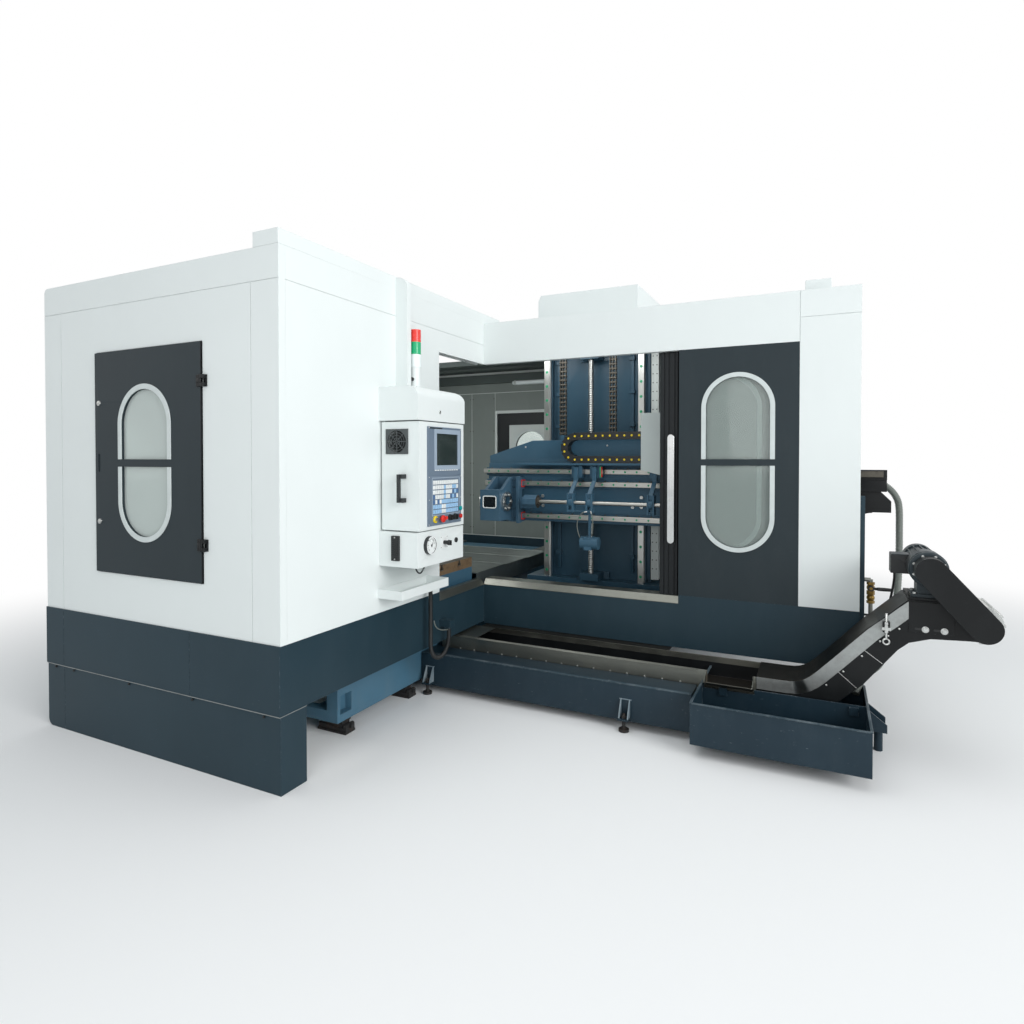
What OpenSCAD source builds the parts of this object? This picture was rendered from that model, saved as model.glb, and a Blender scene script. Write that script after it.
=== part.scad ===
// Deep hole drilling machine: a long work cabin with a travelling table,
// and a drill cabin whose column lifts a horizontal drilling beam.
// Places are measured from the inner corner where the two cabins meet:
// +X runs along the drill cabin's front, +Y to the back and +Z up.

/* [Work cabin] */
// Width of the work cabin, left to right
work_w = 1742; // [1600:1:2000]
// Reach of the work cabin in front of the inner corner
work_front = 1841; // [1700:1:2300]
// Reach of the work cabin behind the inner corner
work_back = 2141; // [1950:1:2600]
// Length of the side opening next to the inner corner
side_open = 567; // [450:1:600]
// Left edge of the service door
service_x = -1280; // [-1400:1:-1200]
// Width of the service door
service_w = 797; // [640:1:900]
// Bottom of the service door
service_z = 890; // [800:1:950]
// Height of the service door
service_h = 1125; // [950:1:1250]
// Left edge of the rear door
rear_x = -1006; // [-1100:1:-950]
// Width of the rear door
rear_w = 796; // [700:1:850]
// Height of the rear door
rear_h = 1075; // [950:1:1200]

/* [Drill cabin] */
// Width of the drill cabin
drill_w = 2287; // [2200:1:2700]
// Depth of the drill cabin
drill_d = 1500; // [1400:1:1800]
// Width of the sliding door's opening
gate_w = 1329; // [1200:1:1400]
// Width of the fixed window panel
fixed_w = 658; // [560:1:720]
// Width of one sliding leaf
leaf_w = 758; // [700:1:820]

/* [Heights] */
// Height of both cabins
cabin_h = 2400; // [2300:1:2700]
// Height of the seam under the fascia
fascia_z = 2250; // [2200:1:2280]
// Height of the door heads
head_z = 2120; // [2060:1:2180]
// Top of the dark base band
base_z = 655; // [640:1:700]
// Bottom of the dark base band
band_z = 348; // [300:1:400]
// Top of the stainless door sill
sill_z = 641; // [625:1:650]

/* [Walls] */
// Thickness of the cabin walls
wall = 40; // [30:1:50]
// Thickness of folded sheet parts
sheet = 4; // [3:0.5:6]
// How far the base band stands proud of the walls
proud = 5; // [3:1:8]

/* [Windows] */
// Width of a window over its frame
win_w = 403; // [340:1:440]
// Height of the tall windows over their frame
win_h = 1039; // [900:1:1100]
// Height of the service windows over their frame
low_win_h = 780; // [650:1:900]
// Width of the window frame
ring_w = 26; // [20:1:32]
// Height of the bar across a window
bar_h = 37; // [25:1:50]
// Middle height of the windows
win_z = 1450; // [1420:1:1480]

/* [Bed and table] */
// Width of the bed casting
bed_w = 1215; // [1100:1:1300]
// Distance from the bed to the inner corner
bed_gap = 185; // [180:1:220]
// Height of the bed's slideways
bed_z = 600; // [560:1:630]
// Height of the machine's castings above the floor
foot_z = 70; // [64:1:90]
// Width of the table
table_w = 1400; // [1250:1:1450]
// Length of the table along its travel
table_l = 1200; // [900:1:1300]
// Height of the table
table_z = 785; // [740:1:820]
// Travel of the table
table_travel = 800; // [600:10:900]
// Overlap of two way cover sections when drawn out
cover_lap = 20; // [12:1:40]

/* [Column] */
// Spacing of the column's two rails
rail_span = 711; // [640:1:760]
// Left rail from the inner corner
rail_x = 252; // [230:1:300]
// Width of the column's rails
rail_w = 45; // [35:1:55]
// Height of the column's rails above their pads
rail_t = 38; // [30:1:45]
// Depth at which the rails' pads stand
pad_y = 558; // [540:1:600]
// Diameter of the lifting screw
screw_d = 40; // [32:1:50]
// Height of the roof hood over the column
hood_h = 250; // [150:1:300]

/* [Drilling beam] */
// Height of the drill axis
axis_z = 1175; // [1140:1:1200]
// Depth of the drill axis
axis_y = 178; // [165:1:190]
// Left end of the beam
beam_x0 = -180; // [-200:1:-150]
// Right end of the beam
beam_x1 = 2437; // [2380:1:2500]
// Front face of the beam
beam_y = 360; // [355:1:370]
// Width of the beam's rails
beam_rail_w = 35; // [30:1:40]
// Diameter of the drill tube
drill_tube_d = 26; // [18:1:36]
// How far the beam is lifted from where it stands
lift_up = 580; // [400:10:600]
// How far the beam is lowered from where it stands
lift_down = 240; // [100:10:240]
// Stroke of the drill feed
feed_travel = 850; // [500:10:900]
// Running clearance around shafts, each side
run = 0.05; // [0.02:0.01:0.1]
// Clearance of guided and hinged pieces
gap = 0.5; // [0.3:0.1:0.6]

/* [Chip conveyor] */
// Width of the conveyor
conv_w = 270; // [220:1:300]
// Height of the conveyor's side walls in the trough
conv_h = 114; // [90:1:130]
// Bottom of the conveyor's trough
conv_z = 216; // [200:1:230]
// Head drum's distance from the inner corner
head_x = 2765; // [2700:1:2850]
// Height of the head drum's axle
head_drum_z = 712; // [690:1:740]
// Radius of the head drum
drum_r = 92; // [80:1:100]

/* [Operator panel] */
// Depth of the panel's case
case_x = 237; // [200:1:280]
// Width of the panel's case
case_w = 445; // [400:1:500]
// Height of the panel's case
case_h = 569; // [520:1:620]
// Bottom of the panel's case
case_z = 1096; // [1060:1:1130]
// Near edge of the panel's case
case_y = -1145; // [-1250:1:-1100]

/* [Hidden] */

$fn = 48;

// overall box and origin
hinge_r = 7;
door_proud = 10;
pin_off = 6;
hinge_out = door_proud + pin_off;
hinge_reach = hinge_out + hinge_r;
west = -work_w - proud;
east = head_x + drum_r;
south = -work_front - hinge_reach;
north = work_back + hinge_reach;
mid_x = (west + east) / 2;
mid_y = (south + north) / 2;

// door leaves
leaf_t = 30;
stop_w = 20;
leaf_gap = 4;
service_z1 = service_z + service_h;
rear_win_z = 1390;
slide_t = 28;
slide_y = wall + 10;
trail_y = slide_y + slide_t + 6;
slide_x = gate_w - 120;
edge_w = 107;
slide_top = head_z + 55;
win_x = gate_w + fixed_w / 2 + 3;
slide_win_x = slide_x + leaf_w / 2;
trail_w = leaf_w - 40;

// side door pocket
skin = 12;
pocket_w = 60;
side_leaf = 20;

// bed and table
bed_x1 = -bed_gap;
bed_x0 = -bed_gap - bed_w;
bed_y0 = -work_front + 569;
bed_y1 = work_back - 240;
table_y1 = 9;
table_y0 = table_y1 - table_l;
way_z = bed_z + 20;
cover_l = table_travel / 2 + 2 * cover_lap;
cover_step = 8;
cover_z = way_z + 55;

// column and beam
rail_x1 = rail_x + rail_span;
col_mid = rail_x + rail_span / 2;
rail_y = pad_y - rail_t;
col_x0 = rail_x - 52;
col_x1 = rail_x1 + 52;
col_top = cabin_h - 30;
screw_y = rail_y - 28;
screw_top = head_z + 60;
chain_dx = 185;
chain_y = 420;
chain_top = cabin_h - 10;
beam_back = 462;
beam_z0 = axis_z - 155;
beam_z1 = axis_z + 225;
top_rail_z = axis_z + 206;
feed_rail_zs = [axis_z - 116, axis_z + 118];
beam_rail_t = 29;
web_z = axis_z + 429;
ledge_z = axis_z + 265;
feed_len = 620;
feed_x = drill_w - 787;
rest_xs = [575, 708, 1120];

// drag chain
link_pitch = 50;
link_h = 50;
bend_steps = 5;
// the bend's pins lie on this radius, so that a whole number of links fits
chain_bend_r = link_pitch / 2 / sin(90 / bend_steps);
chain_bend_x = 565;
chain_links = 20;
drag_y = [275, 345];

// conveyor
conv_y1 = -60;
conv_y0 = conv_y1 - conv_w;
guard_r = 65;
motor_c = [2558, 950];

// operator panel
case_x0 = 12;
panel_pin = [case_x0 + 10, case_y + 10];
pin_d = 8;
press = 3;
head_t = 178;
base_t = 184;
seam = 6;
bezel_x = case_x0 + case_x;
bezel_y = [case_y + 70, case_y + 404];
knob_z = case_z + 53;

module place() translate([-mid_x, -mid_y, 0]) children();
module block(x, y, z)
  translate([x[0], y[0], z[0]]) cube([x[1] - x[0], y[1] - y[0], z[1] - z[0]]);
module rect(x, z) translate([x[0], z[0]]) square([x[1] - x[0], z[1] - z[0]]);
// an outline in X and Z, thick along Y
module along_y(y)
  translate([0, y[1], 0]) rotate([90, 0, 0]) linear_extrude(y[1] - y[0]) children();
// an outline in Y and Z, thick along X
module along_x(x)
  translate([x[0], 0, 0]) rotate([90, 0, 90]) linear_extrude(x[1] - x[0]) children();
module rod_x(x, y, z, d) translate([x[0], y, z]) rotate([0, 90, 0]) cylinder(d = d, h = x[1] - x[0]);
module rod_y(x, y, z, d) translate([x, y[1], z]) rotate([90, 0, 0]) cylinder(d = d, h = y[1] - y[0]);
module rod_z(x, y, z, d) translate([x, y, z[0]]) cylinder(d = d, h = z[1] - z[0]);
module hex_y(x, y, z, d) translate([x, y[1], z]) rotate([90, 0, 0]) cylinder(d = d, h = y[1] - y[0], $fn = 6);
module hex_z(x, y, z, d) translate([x, y, z[0]]) cylinder(d = d, h = z[1] - z[0], $fn = 6);

// ---- windows ----
module stadium(w, h) {
  square([w, h - w], center = true);
  for (s = [-1, 1]) translate([0, s * (h - w) / 2]) circle(d = w);
}
module glass_outline(w, h) stadium(w - 2 * ring_w, h - 2 * ring_w);
// cut-out for a window: open on both sides of the bar, clear behind it
module window_cut(x, z, w, h, y, bar_t) {
  translate([x, 0, z]) along_y([y[0] - 1, y[0] + bar_t]) difference() {
    glass_outline(w, h);
    square([w, bar_h], center = true);
  }
  translate([x, 0, z]) along_y([y[0] + bar_t, y[1] + 1]) glass_outline(w, h);
}
module window_frame(x, z, w, h, y)
  translate([x, 0, z]) along_y([y - 5, y]) difference() {
    stadium(w, h);
    glass_outline(w, h);
    square([w + 2, bar_h], center = true);
  }
module window_pane(x, z, w, h, y)
  translate([x, 0, z]) along_y([y, y + 6]) glass_outline(w, h);

// ---- work cabin ----
// a rebated hole for a door that lies on its stop
module door_hole(x, z, w, h, y) {
  c = leaf_gap;
  stop_y = y[0] - door_proud + leaf_t + gap;
  block([x - c, x + w + c], [y[0] - 1, stop_y], [z - c, z + h + c]);
  block([x + stop_w, x + w - stop_w], [stop_y - 1, y[1] + 1], [z + stop_w, z + h - stop_w]);
}
module wing_front_wall() place() color("#DCE3E1") difference() {
  along_y([-work_front, -work_front + wall]) difference() {
    rect([-work_w, 0], [base_z, cabin_h]);
    translate([-work_w, cabin_h]) difference() {
      square(60, center = true);
      translate([30, -30]) circle(r = 30);
      translate([30, -60]) square(60, center = true);
      translate([60, -30]) square(60, center = true);
    }
  }
  door_hole(service_x, service_z, service_w, service_h, [-work_front, -work_front + wall]);
  for (x = [-work_w + 150, -169])
    block([x, x + 3], [-work_front - 1, -work_front + 2], [base_z - 1, fascia_z]);
  block([-work_w - 1, 1], [-work_front - 1, -work_front + 2], [fascia_z, fascia_z + 3]);
}

// the wall beside the inner corner is a pocket for the side door
module pocket_outline(z) difference() {
  rect([-pocket_w, 0], [z, cabin_h]);
  rect([-pocket_w + skin, -skin], [z - 1, head_z + 80]);
}
module wing_side_wall() place() color("#E6ECEA") difference() {
  union() {
    along_y([-work_front + wall, -side_open]) pocket_outline(base_z);
    along_y([-side_open, 0]) pocket_outline(head_z);
    block([-pocket_w, 0], [-work_front + wall, -work_front + wall + skin], [base_z, cabin_h]);
  }
  block([-2, 1], [-work_front, 1], [fascia_z, fascia_z + 3]);
}

module outer_walls() place() color("#C9D0CD") {
  // left wall
  block([-work_w, -work_w + wall], [-work_front + wall, work_back - wall], [base_z, cabin_h]);
  // back wall with its door
  difference() {
    block([-work_w, 0], [work_back - wall, work_back], [base_z, cabin_h]);
    translate([0, 2 * (work_back - wall / 2), 0]) mirror([0, 1, 0])
      door_hole(rear_x, service_z, rear_w, rear_h, [work_back - wall, work_back]);
  }
  // wall between the work cabin and the outside, behind the drill cabin
  block([-wall, 0], [drill_d, work_back - wall], [base_z, cabin_h]);
  // right wall with the slot for the beam's tail
  difference() {
    block([drill_w - wall, drill_w], [wall, drill_d - wall], [base_z, cabin_h]);
    block([drill_w - wall - 1, drill_w + 1], [drag_y[0], beam_back + 48],
      [axis_z - 60 - lift_down - 30, ledge_z + lift_up + 30]);
  }
  // back wall of the drill cabin
  block([-wall, drill_w], [drill_d - wall, drill_d], [base_z, cabin_h]);
  // gland of the return hose
  rod_x([drill_w, drill_w + gland_t], cabin_hose_pts[0][1], cabin_hose_pts[0][2], 56);
}

hood_x = [rail_x - 11, rail_x1 + 11];
hood_y = [386, 1050];
// the hood's outline, t inside its outer face
module hood_outline(t) polygon([
  [hood_x[0] + t, cabin_h - t], [hood_x[0] + t, cabin_h + hood_h - 40], [hood_x[0] + 19 + t, cabin_h + hood_h - t],
  [hood_x[1] - t, cabin_h + hood_h - t], [hood_x[1] - t, cabin_h - t]]);
module roof() place() color("#E6ECEA") {
  // front roof sheet of the work cabin
  block([-work_w + wall, -pocket_w], [-work_front + wall, 300], [cabin_h - 20, cabin_h]);
  // cross member over the open rear
  block([-work_w + wall, -wall], [work_back - wall - 60, work_back - wall], [cabin_h - 140, cabin_h - 50]);
  // duct along the side wall
  block([-153, 0], [-work_front, 240], [cabin_h, cabin_h + 68]);
  // roof sheet of the drill cabin, open round the column
  difference() {
    block([0, drill_w - wall], [wall, drill_d - wall], [cabin_h - 20, cabin_h]);
    block([hood_x[0] + sheet, hood_x[1] - sheet], [hood_y[0] + sheet, hood_y[1] - sheet], [cabin_h - 21, cabin_h + 1]);
  }
  // hood over the column
  difference() {
    along_y(hood_y) hood_outline(0);
    along_y([hood_y[0] + sheet, hood_y[1] - sheet]) hood_outline(sheet);
  }
  // small cap box
  block([2010, 2142], [60, 220], [cabin_h, cabin_h + 66]);
}

// ---- base band and plinth ----
sill_bottom = sill_z - 41;
module base_skirts() place() color("#36414A") {
  // band under the work cabin
  difference() {
    block([west, 0], [-work_front - proud, work_back + proud], [band_z, base_z]);
    block([west + wall + proud, -pocket_w], [-work_front + wall, work_back - wall], [band_z - 1, base_z + 1]);
    block([-pocket_w - 1, 1], [-side_open, drill_d], [sill_bottom, base_z + 1]);
    block([-pocket_w - 1, 1], [wall, drill_d], [band_z - 1, base_z + 1]);
    for (x = [-work_w + 154, -580])
      block([x, x + 2], [-work_front - proud - 1, -work_front - proud + 2], [band_z - 1, base_z + 1]);
  }
  // plinth under the front and round both corners
  plinth();
  // plinth under the back
  block([-work_w, -work_w + wall], [work_back - 500, work_back - wall], [0, band_z]);
  block([-work_w, 0], [work_back - wall, work_back], [0, band_z]);
  // skirt of the drill cabin, cut back over the conveyor
  along_y([0, wall]) polygon([
    [0, band_z - 13], [drill_w - 231, band_z - 13], [drill_w, 545], [drill_w, base_z - 3],
    [gate_w, base_z - 3], [gate_w, sill_bottom], [0, sill_bottom]]);
  block([drill_w - wall, drill_w], [wall, drill_d], [545, base_z]);
  // connector box with the conduit's gland, and the gland of the motor's cable
  conduit_end = conduit_pts[len(conduit_pts) - 1];
  rod_z(conduit_end[0], conduit_end[1], [conduit_end[2], conduit_end[2] + gland_t], 38);
  block([0, conduit_end[0] + 26], [conduit_end[1] - 26, conduit_end[1] + 26],
    [conduit_end[2] + gland_t, conduit_end[2] + 52]);
  rod_x([drill_w, drill_w + gland_t], cable_pts[len(cable_pts) - 1][1], cable_pts[len(cable_pts) - 1][2], 24);
  // dark post on the right wall
  block([drill_w, drill_w + 25], [50, 75], [0, axis_z + 95]);
  block([-wall, drill_w - wall], [drill_d - wall, drill_d], [band_z, base_z]);
}
module plinth() difference() {
  union() {
    along_y([-work_front, -work_front + wall]) difference() {
      rect([-work_w, 0], [0, band_z]);
      translate([-work_w, 0]) difference() {
        square(80, center = true);
        translate([40, 40]) circle(r = 40);
        translate([40, 80]) square(80, center = true);
        translate([80, 40]) square(80, center = true);
      }
    }
    block([-wall, 0], [-work_front + wall, -work_front + 154], [0, band_z]);
    block([-work_w, -work_w + wall], [-work_front + wall, -work_front + 500], [60, band_z]);
  }
  block([-work_w + 152, -work_w + 154], [-work_front - 1, -work_front + 2], [-1, band_z + 1]);
  for (x = [-work_w + 81, -work_w + 242, -1034, -561, -97])
    rod_y(x, [-work_front - 1, -work_front + 2], band_z - 14, 12);
}

module door_sill() place() color("#A9A9A1") {
  along_x([0, gate_w]) polygon([
    [-2, sill_bottom], [0, sill_bottom], [120, sill_bottom], [120, sill_z], [25, sill_z], [-2, sill_bottom + 4]]);
  // guide that carries on behind the fixed panel
  block([gate_w, drill_w - wall], [wall, 120], [sill_bottom, sill_z]);
  along_y([-side_open, 0]) polygon([
    [2, sill_bottom], [2, sill_bottom + 4], [-25, sill_z], [-pocket_w, sill_z], [-pocket_w, sill_bottom]]);
}

// ---- drill cabin front ----
track_top = slide_top + 12;
module drill_front() place() color("#E6ECEA") {
  difference() {
    union() {
      block([0, gate_w + fixed_w], [0, wall], [head_z, cabin_h]);
      block([gate_w + fixed_w, drill_w], [0, wall], [base_z - 3, cabin_h]);
    }
    // seams of the end panel and the fascia
    block([gate_w + fixed_w - 1, gate_w + fixed_w + 2], [-1, 2], [head_z - 1, cabin_h + 1]);
    block([gate_w + fixed_w, drill_w + 1], [-1, 2], [fascia_z, fascia_z + 3]);
  }
  // double channel that guides the tops of both leaves
  difference() {
    block([10, drill_w - wall], [wall, trail_y + 30], [head_z + 30, track_top]);
    block([9, drill_w], [slide_y - 2, slide_y + slide_t + 2], [head_z + 29, slide_top + 2]);
    block([9, drill_w], [trail_y - 2, trail_y + 26], [head_z + 29, slide_top + 2]);
  }
}
module fixed_panel() place() color("#36414A") difference() {
  block([gate_w, gate_w + fixed_w], [0, wall], [base_z - 3, head_z]);
  window_cut(win_x, win_z, win_w, win_h, [0, wall], 14);
}
module fixed_window() place() color("#D5E2DF") {
  window_frame(win_x, win_z, win_w, win_h, 0);
  window_pane(win_x, win_z, win_w, win_h, 14);
}
module sliding_door() place() color("#2C3337") {
  difference() {
    union() {
      block([slide_x, slide_x + leaf_w], [slide_y, slide_y + slide_t], [sill_z + gap, slide_top]);
      block([slide_x, slide_x + edge_w], [slide_y - 20, slide_y], [sill_z + gap, head_z - 6]);
    }
    for (x = [slide_x + 24, slide_x + 52, slide_x + 88])
      block([x, x + 6], [slide_y - 21, slide_y - 14], [sill_z, head_z]);
    window_cut(slide_win_x, win_z, win_w, win_h, [slide_y, slide_y + slide_t], 10);
  }
  bar_handle(slide_x + 74, slide_y - 20);
}
bar_z = [961, 1617];
module bar_handle(x, y) {
  translate([x, 0, (bar_z[0] + bar_z[1]) / 2]) along_y([y - 42, y - 24])
    stadium(40, bar_z[1] - bar_z[0]);
  for (z = [bar_z[0] + 60, bar_z[1] - 60]) rod_y(x, [y - 24 + gap, y - gap], z, 22);
}
module sliding_window() place() color("#D5E2DF") {
  window_frame(slide_win_x, win_z, win_w, win_h, slide_y);
  window_pane(slide_win_x, win_z, win_w, win_h, slide_y + 10);
}
module trailing_leaf() place() color("#2C3337") {
  y = [trail_y, trail_y + 24];
  difference() {
    block([slide_x + 20, slide_x + 20 + trail_w], y, [sill_z + gap, slide_top]);
    window_cut(slide_win_x, win_z, win_w, win_h, y, 10);
  }
  window_pane(slide_win_x, win_z, win_w, win_h, trail_y + 10);
}
module side_door() place() color("#2C3337")
  block([-(pocket_w + side_leaf) / 2, -(pocket_w - side_leaf) / 2],
    [-2 * side_open - 6, -side_open - 5], [base_z + gap, head_z + 70]);

// ---- hinges ----
hinge_h = 56;
hinge_zs = [service_z + 179, service_z1 - 182];
module hinge_fixed(z) {
  rod_z(0, 0, [z - hinge_h / 2, z + hinge_h / 2], 6);
  for (s = [-1, 1]) translate([0, 0, z + s * 19]) {
    cylinder(d = 2 * hinge_r, h = 18, center = true);
    translate([0, -2, -9]) cube([26, hinge_out + 2, 18]);
  }
  translate([8, hinge_out - 4, z - hinge_h / 2]) cube([22, 4, hinge_h]);
}
module hinge_leaf(z) difference() {
  union() {
    translate([0, 0, z]) cylinder(d = 2 * hinge_r, h = 19, center = true);
    translate([-26, -1, z - 9.5]) cube([26, pin_off + 1, 19]);
    translate([-32, pin_off - 3, z - hinge_h / 2]) cube([22, 3, hinge_h]);
  }
  rod_z(0, 0, [z - 11, z + 11], 6 + 2 * run);
}
service_pin = [service_x + service_w + pin_off, -work_front - hinge_out];
rear_pin = [rear_x + rear_w + pin_off, work_back + hinge_out];
rear_hinge_zs = [service_z + 170, service_z + rear_h - 170];
module door_hinges() place() color("#1E2322") {
  for (z = hinge_zs) translate([service_pin[0], service_pin[1], 0]) hinge_fixed(z);
  for (z = rear_hinge_zs) translate([rear_pin[0], rear_pin[1], 0]) mirror([0, 1, 0]) hinge_fixed(z);
}
service_y = [-work_front - door_proud, -work_front - door_proud + leaf_t];
service_mid = service_x + service_w / 2 - 7;
module service_door() place() color("#3E474C") {
  difference() {
    block([service_x, service_x + service_w], service_y, [service_z, service_z1]);
    window_cut(service_mid, win_z, win_w - 3, low_win_h, service_y, 12);
    block([service_x + 22, service_x + 40], [service_y[0] - 1, service_y[0] + 6], [1405, 1496]);
  }
  for (z = hinge_zs) translate([service_pin[0], service_pin[1], 0]) hinge_leaf(z);
  for (z = [1149, 1757]) {
    rod_y(service_x + 34, [service_y[0] - 5, service_y[0]], z, 26);
    hex_y(service_x + 34, [service_y[0] - 9, service_y[0] - 5], z, 12);
  }
}
module service_window() place() color("#D5E2DF") {
  window_frame(service_mid, win_z, win_w - 3, low_win_h, service_y[0]);
  window_pane(service_mid, win_z, win_w - 3, low_win_h, service_y[0] + 12);
}
rear_y = [work_back + door_proud - leaf_t, work_back + door_proud];
handle_p = [rear_x + 50, 1450];
rear_mid = rear_x + rear_w / 2;
module rear_door() place() color("#202628") {
  difference() {
    block([rear_x, rear_x + rear_w], rear_y, [service_z, service_z + rear_h]);
    window_cut(rear_mid, rear_win_z, win_w - 13, low_win_h, rear_y, 12);
    rod_y(handle_p[0], [rear_y[0] - 1, rear_y[0] + 13], handle_p[1], 16 + 2 * run);
  }
  for (z = rear_hinge_zs) translate([rear_pin[0], rear_pin[1], 0]) mirror([0, 1, 0]) hinge_leaf(z);
}
// lever on the inside of the rear door
module rear_handle() place() color("#C9CCC8") {
  y = rear_y[0];
  rod_y(handle_p[0], [y - 50, y + 12], handle_p[1], 16);
  rod_y(handle_p[0], [y - 8, y - gap], handle_p[1], 46);
  translate([handle_p[0], 0, handle_p[1] - 45]) along_y([y - 57, y - 45]) stadium(18, 116);
}
module rear_window() place() color("#D5E2DF") {
  window_frame(rear_mid, rear_win_z, win_w - 13, low_win_h, rear_y[0]);
  window_pane(rear_mid, rear_win_z, win_w - 13, low_win_h, rear_y[0] + 12);
}

// ---- bed, feet and table ----
foot_ys = [bed_y0 + 77, -620, 400, 1150, bed_y1 - 77];
module bed() place() color("#4D7085") {
  difference() {
    block([bed_x0, bed_x1], [bed_y0, bed_y1], [foot_z, bed_z]);
    // hollow between the two side beams, and the frames at its ends
    block([bed_x0 + 180, bed_x1 - 180], [bed_y0 + 60, bed_y1 - 60], [foot_z - 1, bed_z - 60]);
    block([bed_x0 + 75, bed_x1 - 75], [bed_y0 - 1, bed_y1 + 1], [foot_z + 60, bed_z - 110]);
    // pockets for lifting, near the ends of both sides
    for (x = [bed_x0, bed_x1]) for (y = [bed_y0 + 67, bed_y1 - 67])
      block([x - 45, x + 45], [y - 45, y + 45], [foot_z + 42, foot_z + 142]);
  }
  // slideways
  for (x = [bed_x0 + 40, bed_x1 - 160]) block([x, x + 120], [bed_y0, bed_y1], [bed_z, way_z]);
}
// a wedge mount: base with a lug, wedge, top plate and adjusting bolt towards +X
module wedge_mount() {
  block([-97, 97], [-39, 39], [0, 12]);
  along_y([-34, 34]) polygon([
    [-92, 12], [97, 12], [97, 44], [92, 50], [80, 50], [76, 44], [76, 28], [-92, 40]]);
  along_y([-30, 30]) polygon([[-84, 38], [66, 28], [66, foot_z - 12], [-84, foot_z - 12]]);
  block([-90, 70], [-36, 36], [foot_z - 12, foot_z]);
  rod_x([60, 108], 0, 38, 14);
  translate([97, 0, 38]) rotate([0, 90, 0]) cylinder(d = 26, h = 16, $fn = 6);
}
module wedge_foot(x, y, side) translate([x, y, 0]) mirror([side > 0 ? 0 : 1, 0, 0]) wedge_mount();
col_foot_xs = [col_x0 - 20, col_x1 + 20];
tank_foot_pts = [[-113, -530], [1149, -530], [-113, -10], [1149, -10], [1600, -10], [2250, -10]];
module levelling_feet() place() color("#2E3638") {
  for (y = foot_ys) {
    wedge_foot(bed_x0 + 77, y, -1);
    wedge_foot(bed_x1 - 77, y, 1);
  }
  for (y = [540, 1240]) for (k = [0, 1]) wedge_foot(col_foot_xs[k], y, 2 * k - 1);
  for (p = tank_foot_pts) translate([p[0], p[1], 0]) {
    cylinder(d = 56, h = 14);
    cylinder(d = 16, h = 96);
    hex_z(0, 0, [14, 24], 28);
    hex_z(0, 0, [bracket_z + 8, bracket_z + 20], 28);
  }
}
table_x = [bed_x1 + 85 - table_w, bed_x1 + 85];
module table() place() color("#3C5566") {
  difference() {
    block(table_x, [table_y0, table_y1], [way_z + gap, table_z]);
    // T-slots across the table
    for (k = [0:4]) translate([0, table_y0 + 150 + k * 220, 0]) {
      block([table_x[0] - 1, table_x[1] + 1], [-11, 11], [table_z - 38, table_z + 1]);
      block([table_x[0] - 1, table_x[1] + 1], [-20, 20], [table_z - 38, table_z - 20]);
    }
  }
  // skirts that wrap the bed's slideways
  for (x = [table_x[0], table_x[1] - 15]) block([x, x + 15], [table_y0, table_y1], [bed_z - 40, way_z + gap]);
}

// one section of the telescopic way cover, k = 0 is the outermost
module way_cover(k, y) {
  inset = k * cover_step;
  x0 = table_x[0] - 40 + inset;
  x1 = table_x[1] + 40 - inset;
  top = cover_z - inset;
  difference() {
    block([x0, x1], y, [bed_z - 50, top]);
    block([x0 + sheet, x1 - sheet], [y[0] - 1, y[1] + 1], [bed_z - 51, top - sheet]);
  }
  // stiffening rib and wiper along the far edge
  lip = k == 2 ? cover_step : cover_step - sheet - gap;
  block([x0 + sheet, x1 - sheet], [y[1] - 12, y[1]], [top - sheet - lip, top - sheet]);
  for (x = [x0 + sheet, x1 - sheet - lip])
    block([x, x + lip], [y[1] - 12, y[1]], [bed_z - 50, top - sheet]);
  block([x0 + 40, x1 - 40], [y[1] - 10, y[1] - 4], [top, top + 3]);
}
function cover_y(k) = [table_y1 + k * (cover_l - cover_lap), table_y1 + k * (cover_l - cover_lap) + cover_l];
module way_cover_front() place() color("#8F9391") way_cover(0, cover_y(0));
module way_cover_middle() place() color("#8F9391") way_cover(1, cover_y(1));
module way_cover_rear() place() color("#8F9391") {
  way_cover(2, cover_y(2));
  // brackets that stand on the slideways
  for (x = [bed_x0 + 40, bed_x1 - 160])
    block([x, x + 120], [cover_y(2)[1] - 12, cover_y(2)[1]], [way_z, cover_z - 2 * cover_step - sheet - cover_step]);
}

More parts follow.
